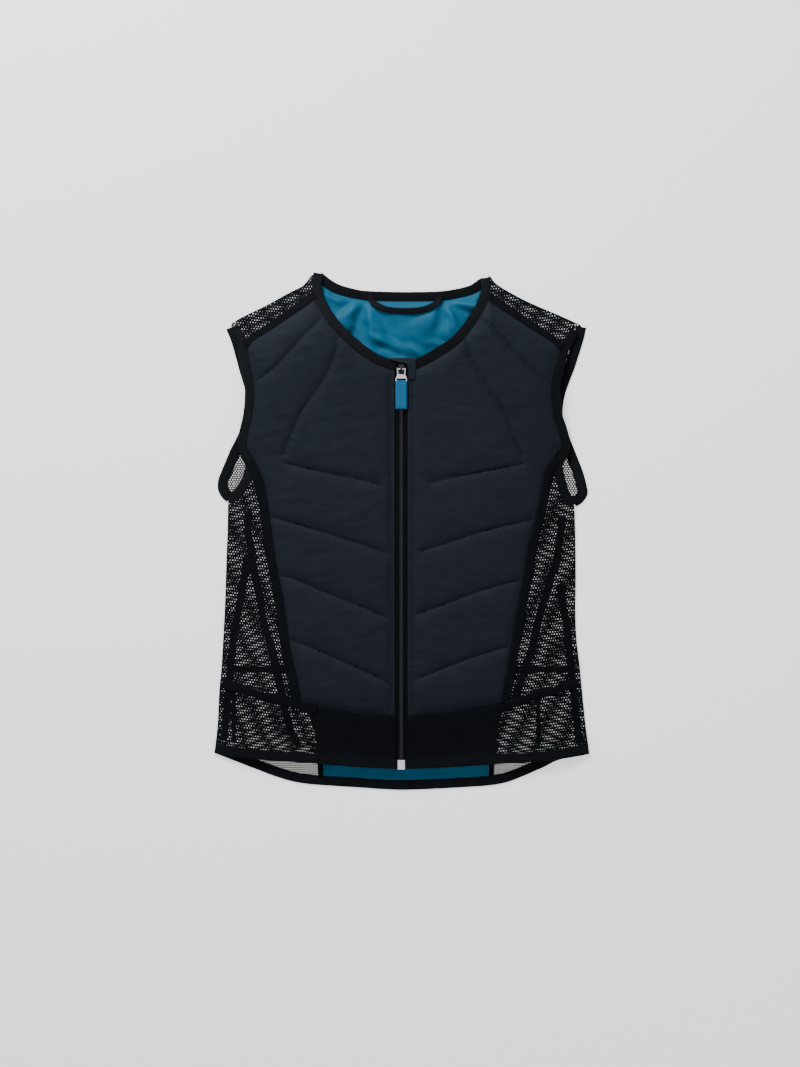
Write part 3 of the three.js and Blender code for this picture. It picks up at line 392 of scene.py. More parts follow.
@dataclass
class Pattern:
    """The vest's seam lines and the heights at which its two layers lie."""

    lines: dict[str, dict[str, Line]] = field(default_factory=dict)
    back_neck: Line = field(default_factory=lambda: spline(BACK_NECK))
    back_hem: Line = field(default_factory=lambda: spline(BACK_HEM))
    fold_share: float = 0.9
    fold_drop: float = 1.2 * MM

    def __post_init__(self) -> None:
        """Draws every seam from its table."""
        for name, sides in SEAMS.items():
            self.lines[name] = {side: spline(points) for side, points in sides.items()}
        self.edge = {
            side: np.concatenate([self.lines["shoulder_fold"][side][:1], self.lines["side_fold"][side]])
            for side in SIDES
        }
        self.hem_y = float(y_at(self.lines["front_hem"]["left"], 0.0))

    def side_share(self, x: Array, y: Array) -> Array:
        """How far across the vest a point lies, 0 on the zip and 1 on the side fold."""
        left = x / x_at(self.edge["left"], y)
        right = x / x_at(self.edge["right"], y)
        return np.clip(np.where(x < 0, left, right), 0, 1)

    def front(self, x: Array, y: Array) -> Array:
        """Height of the middle of the front layer's seams."""
        folds = self.lines["shoulder_fold"]
        fold = np.where(x < 0, y_at(folds["left"], x), y_at(folds["right"], x))
        shoulder = 1 - (1 - np.clip((fold - y) / SHOULDER_EASE, 0, 1)) ** 2
        hem = HEM_SHARE + (1 - HEM_SHARE) * smooth((y - self.hem_y) / HEM_EASE)
        dome = 1 - self.side_share(x, y) ** SIDE_ROUNDNESS
        return FOLD_HEIGHT + SEAM_HALF + CHEST_RISE * dome * shoulder * hem

    def back(self, x: Array, y: Array) -> Array:
        """Height of the middle of the back layer's seams."""
        return np.full(np.shape(x), SEAM_HALF)

    def near_fold(self, x: Array, y: Array) -> Array:
        """1 on the open part of the side folds, 0 in the layers and beside the bindings."""
        top = (UNDERARM["left"] - 0.09) * LENGTH - MIDDLE
        bottom = 0.1 * LENGTH - MIDDLE
        open_part = smooth((top - y) / 0.02) * smooth((y - bottom) / 0.02)
        return smooth((self.side_share(x, y) - self.fold_share) / (1 - self.fold_share)) * open_part

    def front_net(self, x: Array, y: Array) -> Array:
        """Height of the front nets, which bend down to the back ones at the side folds."""
        sway = 0.6 * MM * ripple(x, y, 0.045, 3.0) * (1 - self.near_fold(x, y))
        return self.front(x, y) - self.fold_drop * self.near_fold(x, y) + sway * self.inner_share(x, y)

    def back_net(self, x: Array, y: Array) -> Array:
        """Height of the back nets, which bend up to the front ones at the side folds."""
        return self.back(x, y) + self.fold_drop * 0.6 * self.near_fold(x, y)

    def inner_share(self, x: Array, y: Array) -> Array:
        """0 along the side folds and 1 a little way inside them."""
        return smooth((1 - self.side_share(x, y)) / 0.12)

    def shoulder_seam(self, side: str, extra: float = 0.0) -> Line:
        """The straight seam below a shoulder net, from the armhole to the neck.

        Args:
            side: left or right.
            extra: how far the outer end is drawn out.

        Returns:
            Its two ends.
        """
        outer_y, inner_y = (share * LENGTH - MIDDLE for share in ROW_ENDS[side][0])
        outward = OUTWARD[side]
        armhole = shift(self.lines["armhole_front"][side], -outward * ARMHOLE_BINDING / 2)
        neck = shift(self.lines["neck"][side], outward * NECK_BINDING / 2)
        outer = np.array([x_at(armhole, outer_y), outer_y])
        inner = np.array([x_at(neck, inner_y), inner_y])
        direction = (outer - inner) / np.linalg.norm(outer - inner)
        return np.stack([outer + direction * extra, inner - direction * 3 * MM])


PATTERN = Pattern()


# Meshes


def make(
    name: str, vertices: Array, faces: Sequence[Sequence[int]], finishes: Sequence[bpy.types.Material],
    uv: Array | None = None, face_finish: Array | None = None,
) -> bpy.types.Object:
    """A mesh object with cloth coordinates and finishes.

    Args:
        name: the piece's name.
        vertices: N by 3 points.
        faces: lists of vertex numbers.
        finishes: its materials.
        uv: N by 2 cloth coordinates in metres; the plan view where left out.
        face_finish: which material each face has.

    Returns:
        The new object, in the scene.
    """
    mesh = bpy.data.meshes.new(name)
    mesh.from_pydata(np.asarray(vertices).tolist(), [], [list(face) for face in faces])
    mesh.validate()
    uv = np.asarray(vertices)[:, :2] if uv is None else uv
    corners = np.empty(len(mesh.loops), dtype=np.int64)
    mesh.loops.foreach_get("vertex_index", corners)
    flat = np.asarray(uv)[corners].astype(np.float32).ravel()
    mesh.uv_layers.new(name="cloth").data.foreach_set("uv", flat)
    mesh.polygons.foreach_set("use_smooth", np.ones(len(mesh.polygons), dtype=bool))
    for finish in finishes:
        mesh.materials.append(finish)
    if face_finish is not None:
        mesh.polygons.foreach_set("material_index", np.asarray(face_finish, dtype=np.int32))
    piece = bpy.data.objects.new(name, mesh)
    bpy.context.scene.collection.objects.link(piece)
    return piece


def declare(piece: bpy.types.Object, slot: str, *nodes: str, body: str = "vest") -> bpy.types.Object:
    """Rides a piece on its body and hides the solids that it stands for."""
    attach(piece, body)
    if nodes:
        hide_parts(*nodes)
    log.info("%s: %d faces", piece.name, len(piece.data.polygons))
    return piece


def raised(height: Height, by: float) -> Height:
    """A height that lies a distance above another, or below it."""
    def lifted(x: Array, y: Array) -> Array:
        """The height at a place."""
        return height(x, y) + by

    return lifted


def grid_between(inner: Line, outer: Line, columns: int) -> Array:
    """A grid of points in rows from an inner to an outer rail."""
    share = np.linspace(0, 1, columns)[None, :, None]
    return inner[:, None, :] * (1 - share) + outer[:, None, :] * share


def shell(top: Array, bottom: Array, stride: int) -> tuple[Array, list[list[int]], list[int]]:
    """A closed skin around a fine upper grid and a coarser lower one.

    Args:
        top: R by C by 3 points.
        bottom: the same place's lower points, R by C by 3.
        stride: how many upper cells one lower cell spans.

    Returns:
        Vertices, faces and, for each face, 0 above and on the rim and 1 below.
    """
    rows, columns = top.shape[:2]
    low = bottom[::stride, ::stride]
    low_rows, low_columns = low.shape[:2]
    base = rows * columns
    upper = np.arange(base).reshape(rows, columns)
    lower = base + np.arange(low_rows * low_columns).reshape(low_rows, low_columns)
    a, b, c, d = upper[:-1, :-1], upper[:-1, 1:], upper[1:, 1:], upper[1:, :-1]
    faces = np.stack([a, d, c, b], axis=-1).reshape(-1, 4).tolist()
    a, b, c, d = lower[:-1, :-1], lower[:-1, 1:], lower[1:, 1:], lower[1:, :-1]
    under = np.stack([a, b, c, d], axis=-1).reshape(-1, 4).tolist()
    rim_top = [*upper[0, :], *upper[1:, -1], *upper[-1, -2::-1], *upper[-2:0:-1, 0]]
    rim_low = [*lower[0, :], *lower[1:, -1], *lower[-1, -2::-1], *lower[-2:0:-1, 0]]
    rim = []
    for i, start in enumerate(rim_low):
        stop = rim_low[(i + 1) % len(rim_low)]
        part = [rim_top[(i * stride + k) % len(rim_top)] for k in range(stride + 1)]
        rim.append([*part, stop, start])
    vertices = np.concatenate([top.reshape(-1, 3), low.reshape(-1, 3)])
    kinds = [0] * len(faces) + [1] * len(under) + [0] * len(rim)
    turned = signed_volume(vertices, faces + under) < 0
    every = faces + under + rim
    if turned:
        every = [face[::-1] for face in every]
    return vertices, every, kinds


def signed_volume(vertices: Array, faces: Sequence[Sequence[int]]) -> float:
    """Six times the volume that quads enclose, below 0 where they face inward."""
    quads = np.array([face[:4] for face in faces])
    a, b, c, d = (vertices[quads[:, k]] for k in range(4))
    return float((np.einsum("ij,ij->i", a, np.cross(b, c)) + np.einsum("ij,ij->i", a, np.cross(c, d))).sum())


def ribbon(
    name: str, line: Line, width: float, half: float, middle: Height, finishes: Sequence[bpy.types.Material],
    profile: Profile = Profile.FLAT, inward: float = 1.0, seed: float = 0.0,
) -> bpy.types.Object:
    """A strip of cloth along a line.

    Args:
        name: the piece's name.
        line: its centre line.
        width: across the strip.
        half: half its thickness.
        middle: height of its middle.
        finishes: its materials.
        profile: flat, or folded over the edge of another cloth.
        inward: 1 where a folded strip opens to the line's left, -1 to its right.
        seed: sets its unevenness.

    Returns:
        The strip.
    """
    points = even(line, 2 * MM)
    w = width / 2
    if profile is Profile.FLAT:
        section = [(-w, 0), (-w + 0.3 * half, 0.75 * half), (-w + half, half), (-w / 3, half), (w / 3, half),
                   (w - half, half), (w - 0.3 * half, 0.75 * half), (w, 0), (w - 0.3 * half, -0.75 * half),
                   (w - half, -half), (-w + half, -half), (-w + 0.3 * half, -0.75 * half)]
    else:
        slot = 0.5 * half
        section = [(w, slot), (w - 0.25 * half, half * 0.85), (w - half, half * 0.92),
                   (w * 0.45, half * 0.86), (w * 0.2, half), (-w * 0.5, half),
                   (-w + half, half * 0.96), (-w + 0.35 * half, half * 0.72),
                   (-w, 0), (-w + 0.35 * half, -half * 0.72), (-w + half, -half), (w * 0.2, -half),
                   (w - half, -half * 0.92), (w - 0.25 * half, -half * 0.85), (w, -slot),
                   (-w * 0.55, -slot), (-w * 0.55, slot)]
        section = [(a * inward, h) for a, h in section]
    count, around = len(points), len(section)
    across = np.array([a for a, _ in section])
    height = np.array([h for _, h in section])
    run = length_along(points)
    wide = 1 + 0.035 * ripple(run, run * 0 + seed, 0.014, seed)
    lift = 0.14 * MM * ripple(run, run * 0 + seed, 0.006, seed + 5)
    xy = points[:, None, :] + normals(points)[:, None, :] * (across[None, :] * wide[:, None])[..., None]
    z = middle(xy[..., 0], xy[..., 1]) + height[None, :] + lift[:, None] * np.sign(height)[None, :].clip(0)
    vertices = np.concatenate([xy, z[..., None]], axis=-1).reshape(-1, 3)
    shape = (count, around)
    uv = np.stack([np.broadcast_to(across, shape), np.broadcast_to(run[:, None], shape)], axis=-1)
    ring = np.arange(count * around).reshape(count, around)
    a, b = ring[:-1], np.roll(ring, -1, axis=1)[:-1]
    c, d = np.roll(ring, -1, axis=1)[1:], ring[1:]
    faces = np.stack([a, b, c, d], axis=-1).reshape(-1, 4).tolist()
    caps = [ring[0][::-1].tolist(), ring[-1].tolist()]
    if signed_volume(vertices, faces) < 0:
        faces = [face[::-1] for face in faces]
        caps = [cap[::-1] for cap in caps]
    return make(name, vertices, faces + caps, finishes, uv.reshape(-1, 2))


@dataclass
class Net:
    """A sheet of open net, cut to an outline."""

    pitch: float = 3.3 * MM
    yarn: float = 1.5 * MM
    ridge: float = 0.25 * MM
    turn: float = 0.0
    stretch: float = 1.0
    sway: float = 0.0

    def solid_share(self) -> float:
        """How much of the sheet is yarn."""
        return 1 - (1 - self.yarn / self.pitch) ** 2

    def build(
        self, name: str, outline: Line, middle: Height, finishes: Sequence[bpy.types.Material],
    ) -> bpy.types.Object:
        """Lays hexagonal meshes inside an outline.

        Args:
            name: the piece's name.
            outline: closed outline in the plane.
            middle: height of the net.
            finishes: its materials.

        Returns:
            The net.
        """
        real = outline
        outline = self.turned(real, -1)
        low, high = outline.min(axis=0), outline.max(axis=0)
        row_pitch = self.pitch * math.sqrt(3) / 2
        rows = np.arange(math.floor(low[1] / row_pitch) - 1, math.ceil(high[1] / row_pitch) + 2)
        columns = np.arange(math.floor(low[0] / self.pitch) - 1, math.ceil(high[0] / self.pitch) + 2)
        row, column = np.meshgrid(rows, columns, indexing="ij")
        centres = np.stack([(column + 0.5 * (row % 2)) * self.pitch, row * row_pitch], axis=-1).reshape(-1, 2)
        rim = nearest(centres, np.concatenate([outline, outline[:1]]))[0]
        within = inside(centres, outline)
        kept = within | (rim < 0.3 * self.pitch)
        centres, rim = centres[kept], np.where(within, rim, 0)[kept]
        openness = np.clip((rim - 0.4 * MM) / (1.2 * MM), 0.15, 1)[:, None, None]
        corner = self.pitch / math.sqrt(3)
        angle = math.pi / 6 + math.pi / 3 * np.arange(6)
        star = np.stack([np.cos(angle), np.sin(angle)], axis=1)
        outer = centres[:, None, :] + star * corner
        hole = centres[:, None, :] + star * corner * (1 - self.yarn / self.pitch) * openness
        flat = outer.reshape(-1, 2)
        keys = np.round(flat / (0.2 * corner)).astype(np.int64)
        _, first, which = np.unique(keys, axis=0, return_index=True, return_inverse=True)
        shared = self.held(flat[first], outline)
        holes = self.held(hole.reshape(-1, 2), outline)
        which = np.asarray(which).reshape(-1, 6)
        own = len(shared) + np.arange(len(centres) * 6).reshape(-1, 6)
        corners = [which, np.roll(which, -1, axis=1), np.roll(own, -1, axis=1), own]
        faces = np.stack(corners, axis=-1).reshape(-1, 4)
        points = self.turned(np.concatenate([shared, holes]), 1)
        deep = np.minimum(1, nearest(points, np.concatenate([real, real[:1]]))[0] / (12 * MM))
        drift = [ripple(points[:, 0], points[:, 1], 0.022, seed, 1) for seed in (2.0, 8.0)]
        points += self.sway * np.stack(drift, axis=1) * deep[:, None]
        lift = np.concatenate([np.full(len(shared), self.ridge), np.zeros(len(holes))])
        z = middle(points[:, 0], points[:, 1]) + lift
        piece = make(name, np.column_stack([points, z]), faces.tolist(), finishes)
        width, length = cut_of(real)
        area = max(area_of(real) * self.solid_share(), 0.31 * width * length)
        return piece

    def turned(self, points: Array, way: int) -> Array:
        """Points taken to the net's own directions, or back from them with way = 1."""
        angle = math.radians(self.turn)
        turn = np.array([(math.cos(angle), math.sin(angle)), (-math.sin(angle), math.cos(angle))])
        scale = np.array([1.0, self.stretch])
        return (points * scale) @ turn if way > 0 else (points @ turn.T) / scale

    def held(self, points: Array, outline: Line) -> Array:
        """Points that lie beyond an outline, drawn back to it."""
        closed = np.concatenate([outline, outline[:1]])
        out = ~inside(points, outline)
        moved = points.copy()
        if out.any():
            moved[out] = nearest(points[out], even(closed, 3 * MM))[2]
        return moved


def quilting(
    points: Array, channels: Sequence[Line], rims: Sequence[tuple[Line, float]], spread: float,
) -> Array:
    """How full the padding is at each point, and the small puckers beside the stitches.

    Args:
        points: N points in the plane.
        channels: stitched lines.
        rims: the panel's edges, each with the width that stays flat beside it.
        spread: how far from a seam the padding takes to fill.

    Returns:
        N rows of fullness, 0 to 1, and pucker, -1 to 1.
    """
    full = np.ones(len(points))
    pucker = np.zeros(len(points))
    for index, channel in enumerate(channels):
        away, along, _ = nearest(points, channel)
        full *= 1 - np.exp(-((away / spread) ** 0.9))
        wave = np.sin(along * 2 * math.pi / (8 * MM) + 2.2 * np.sin(along / (9 * MM) + index))
        pucker += wave * np.exp(-away / (7 * MM)) * (1 - np.exp(-away / (1.2 * MM)))
    for rim, flat in rims:
        away, along, _ = nearest(points, rim)
        beyond = np.maximum(away - flat, 0)
        full *= 1 - np.exp(-((beyond / spread) ** 1.2))
        wave = np.sin(along * 2 * math.pi / (11 * MM) + 2 * np.sin(along / (16 * MM)))
        pucker += 0.7 * wave * np.exp(-beyond / (9 * MM)) * (1 - np.exp(-beyond / (2 * MM)))
    return np.stack([full, pucker], axis=1)


def snap(grid: Array, channels: Sequence[Line], reach: float) -> Array:
    """A grid whose points beside a channel lie on it, so that the stitches run in a clean crease."""
    rows, columns = grid.shape[:2]
    points = grid.reshape(-1, 2).copy()
    border = np.zeros((rows, columns), dtype=bool)
    border[0], border[-1], border[:, 0], border[:, -1] = True, True, True, True
    free = ~border.ravel()
    for channel in channels:
        away, _, place = nearest(points, channel)
        close = free & (away < reach)
        points[close] = place[close]
    return points.reshape(rows, columns, 2)


def bent(inner: Line, outer: Line, columns: int, first: Line | None, last: Line | None) -> Array:
    """A grid between two rails whose first and last rows follow curves between their ends."""
    rows = len(inner)
    grid = grid_between(inner, outer, columns)
    share = np.linspace(0, 1, columns)
    v = np.linspace(0, 1, rows)[:, None]
    for curve, row, weight in ((first, 0, 1 - v), (last, rows - 1, v)):
        if curve is None:
            continue
        rise = y_at(curve, grid[row, :, 0]) - grid[row, :, 1]
        rise = rise - rise[0] * (1 - share) - rise[-1] * share
        grid[..., 1] += weight * rise[None, :]
    return grid


def side_rail(edge: Line, seam: Line, y: Array, outward: float) -> Line:
    """The side of a panel: its armhole edge above the underarm and its side seam below."""
    start = seam[0, 1]
    by_seam = x_at(seam, y) * outward
    by_edge = x_at(edge, y) * outward
    x = np.where(y > start, by_edge, np.where(y < edge[-1, 1] + 0.03, by_seam, np.minimum(by_seam, by_edge)))
    return np.stack([x * outward, y], axis=1)


@dataclass
class Front:
    """The quilted half of the front, its nets, tapes and bindings, on one side."""

    side: str
    rows: int = 331
    columns: int = 121
    stride: int = 3
    puff: float = 3.9 * MM
    spread: float = 5.5 * MM
    placket: float = 5.6 * MM
    side_tape: float = 12 * MM
    waist_tape: float = 10 * MM
    shoulder_tape: float = 10 * MM
    tape_half: float = 0.5 * MM
    tuck: float = 0.5 * MM

    def __post_init__(self) -> None:
        """Picks this side's lines."""
        self.outward = OUTWARD[self.side]
        self.line = {name: sides[self.side] for name, sides in PATTERN.lines.items()}
        self.zip_x = ZIP_AXIS + self.outward * FRONT_EDGE
        self.channels = [even(spline(points), 2 * MM) for points in CHANNELS[self.side]]
        self.net = Net(yarn=1.85 * MM, turn=11.0 * self.outward, stretch=1.3, sway=0.9 * MM)

    def rails(self, count: int) -> tuple[Line, Line]:
        """The panel's rail along neck and zip and its rail along armhole and side."""
        ends = np.array(ROW_ENDS[self.side]) * LENGTH - MIDDLE
        run = np.concatenate([[0], np.cumsum(np.abs(np.diff(ends.sum(axis=1))))])
        at = np.linspace(0, run[-1], count)
        outer_y, inner_y = np.interp(at, run, ends[:, 0]), np.interp(at, run, ends[:, 1])
        neck = shift(self.line["neck"], self.outward * self.tuck)
        armhole = shift(self.line["armhole_front"], -self.outward * self.tuck)
        zip_side = self.zip_x * self.outward
        inner_x = np.where(inner_y > neck[-1, 1], x_at(neck, inner_y) * self.outward, zip_side)
        inner_x = np.maximum(inner_x, self.zip_x * self.outward) * self.outward
        outer = side_rail(armhole, self.line["side_seam"], outer_y, self.outward)
        inner = np.stack([inner_x, inner_y], axis=1)
        outer[-1] = meeting(self.line["side_seam"], self.line["waist"])
        inner[-1] = (self.zip_x, float(y_at(self.line["waist"], self.zip_x)))
        return inner, outer

    def panel(self, shell_cloth: bpy.types.Material, lining: bpy.types.Material) -> bpy.types.Object:
        """The padded half with its stitched channels."""
        inner, outer = self.rails(self.rows)
        grid = bent(inner, outer, self.columns, None, self.line["waist"])
        grid = snap(grid, self.channels, 0.8 * MM)
        points = grid.reshape(-1, 2)
        placket_x = self.zip_x + self.outward * self.placket
        stitched = np.array([(placket_x, y) for y in inner[:, 1] if y < inner[0, 1]])
        rims = [
            (even(inner, 4 * MM), 0.0), (even(outer, 4 * MM), 0.0), (even(grid[0], 4 * MM), 1.5 * MM),
            (even(grid[-1], 4 * MM), 0.5 * MM),
        ]
        armhole = between(self.line["armhole_front"], UNDERARM[self.side] * LENGTH - MIDDLE, 1, 1)
        rims += [
            (even(self.line["neck"], 4 * MM), NECK_BINDING / 2),
            (even(armhole, 4 * MM), ARMHOLE_BINDING / 2),
        ]
        zip_part = stitched[stitched[:, 1] < self.line["neck"][-1, 1] - 8 * MM]
        values = quilting(points, [*self.channels, zip_part[::6]], rims, self.spread)
        full = values[:, 0]
        flat = np.abs(points[:, 0] - self.zip_x) < self.placket
        beside_zip = flat & (points[:, 1] < self.line["neck"][-1, 1])
        full = np.where(beside_zip, 0.12 * np.minimum(1, full * 8), full)
        x, y = points[:, 0], points[:, 1]
        sway = 0.55 * MM * ripple(x, y, 0.05, 1.0 + self.outward) + 0.16 * MM * ripple(x, y, 0.013, 7.0)
        sway += 0.5 * MM * ripple(x * 0.3, y + 0.12 * x * self.outward, 0.011, 17.0, 3)
        rise = CLOTH_HALF + self.puff * full + sway * full + 0.24 * MM * values[:, 1]
        middle = PATTERN.front(x, y)
        shape = (self.rows, self.columns, 3)
        top = np.column_stack([points, middle + np.maximum(rise, CLOTH_HALF)]).reshape(shape)
        low = np.column_stack([points, middle - CLOTH_HALF - 0.5 * MM * full]).reshape(shape)
        vertices, faces, kinds = shell(top, low, self.stride)
        name = f"front_panel_{self.side}"
        piece = make(f"quilted_front_{self.side}", vertices, faces, [shell_cloth, lining], face_finish=kinds)
        return declare(piece, "quilted", name)

    def nets(self, yarn: bpy.types.Material) -> list[bpy.types.Object]:
        """The side, hem and shoulder nets."""
        line = self.line
        under = UNDERARM[self.side] * LENGTH - MIDDLE
        waist_y = float(meeting(line["side_seam"], line["waist"])[1])
        fold = line["side_fold"]
        fold_waist = meeting(fold, line["waist"])
        fold_top = float(line["armhole_front"][-1, 1])
        seam = between(line["side_seam"], waist_y, under, 1)
        side = [
            seam, self.across(line["waist"], seam[-1, 0], fold_waist[0]),
            between(fold, fold_waist[1], fold_top, 1)[::-1],
            between(line["armhole_front"], fold_top, under, 1)[::-1],
        ]
        edge = BAND_EDGE[self.side] * HALF_WIDTH
        hem = shift(line["front_hem"], -self.outward * 6 * MM)
        lower = [
            self.across(line["waist"], edge, fold_waist[0]),
            between(fold, float(hem[0, 1]), fold_waist[1], 1),
            self.across(hem, hem[0, 0], edge),
        ]
        seam_ends = PATTERN.shoulder_seam(self.side, 4 * MM)
        shoulder = [
            seam_ends, between(line["neck"], float(seam_ends[1, 1]), 1, 1)[::-1],
            self.across(line["shoulder_fold"], line["neck"][0, 0], line["armhole_front"][0, 0]),
            between(line["armhole_front"], float(seam_ends[0, 1]), 1, 1),
        ]
        parts = (("front_side_net", side), ("front_lower_net", lower), ("shoulder_net_front", shoulder))
        return [self.sheet(name, np.concatenate(outline), PATTERN.front_net, yarn) for name, outline in parts]

    def across(self, line: Line, from_x: float, to_x: float) -> Line:
        """The part of a line between two values of x, from the first to the second."""
        part = between(line, min(from_x, to_x), max(from_x, to_x), 0)
        return part if (part[0, 0] - part[-1, 0]) * (from_x - to_x) > 0 else part[::-1]

    def sheet(self, name: str, outline: Line, middle: Height, yarn: bpy.types.Material) -> bpy.types.Object:
        """One net of this side."""
        piece = self.net.build(f"{name}_{self.side}_mesh", outline, middle, [yarn])
        return declare(piece, "net", f"{name}_{self.side}")

    def tapes(self, tape: bpy.types.Material, edging: bpy.types.Material) -> list[bpy.types.Object]:
        """The tapes beside the seams, and the folded bindings."""
        line, outward, side = self.line, self.outward, self.side
        above = raised(PATTERN.front, 0.9 * MM)
        under = UNDERARM[side] * LENGTH - MIDDLE
        low = float(meeting(line["side_seam"], line["waist"])[1])
        seam = between(line["side_seam"], low - 4 * MM, under + 4 * MM, 1)
        start = line["waist"][0, 0] - outward * 4 * MM
        waist = self.across(line["waist"], start, BAND_EDGE[side] * HALF_WIDTH - outward * 2 * MM)
        shoulder = even(PATTERN.shoulder_seam(side, 3 * MM), 5 * MM)
        made = []
        for name, path, width, offset in (
            ("front_side_tape", seam, self.side_tape, outward * (self.side_tape / 2 - 1 * MM)),
            ("front_waist_tape", waist, self.waist_tape, outward * self.waist_tape / 2),
            ("shoulder_tape", shoulder, self.shoulder_tape, -outward * (self.shoulder_tape / 2 - 3.2 * MM)),
        ):
            piece = ribbon(f"{name}_{side}_strip", shift(path, offset), width, self.tape_half, above, [tape],
                           seed=outward)
            made.append(declare(piece, "binding", f"{name}_{side}"))
        hem = shift(line["front_hem"], -outward * HEM_BINDING / 2)
        stop = abs(ZIP_AXIS) + 4.8 * MM
        hem = self.across(hem, hem[0, 0], outward * stop)
        for name, path, width, inward in (
            ("neck_binding_front", line["neck"], NECK_BINDING, outward),
            ("armhole_binding_front", line["armhole_front"], ARMHOLE_BINDING, -outward),
            ("hem_binding_front", hem, HEM_BINDING, -outward),
        ):
            piece = ribbon(f"{name}_{side}_fold", path, width, SEAM_HALF, PATTERN.front, [edging],
                           Profile.FOLDED, inward, outward)
            made.append(declare(piece, "binding", f"{name}_{side}"))
        return made

    def band(self, knit: bpy.types.Material) -> bpy.types.Object:
        """The close-knit band between the waist seam and the hem."""
        edge = BAND_EDGE[self.side] * HALF_WIDTH
        count = 91
        x = np.linspace(edge, self.zip_x, count)
        hem = shift(self.line["front_hem"], -self.outward * 6 * MM)
        top = np.stack([x, y_at(self.line["waist"], x) - 0.3 * MM], axis=1)
        bottom = np.stack([x, y_at(hem, x)], axis=1)
        grid = grid_between(top, bottom, 49)
        x, y = grid[..., 0], grid[..., 1]
        middle = PATTERN.front(x, y)
        bulge = 0.35 * MM * ripple(x, y, 0.03, 11.0) * np.sin(np.linspace(0, math.pi, 49))[None, :]
        upper = np.dstack([grid, middle + 0.55 * MM + bulge])
        lower = np.dstack([grid, middle - 0.4 * MM])
        vertices, faces, kinds = shell(upper, lower, 3)
        piece = make(f"hem_band_{self.side}", vertices, faces, [knit])
        return declare(piece, "knit", f"front_hem_band_{self.side}")


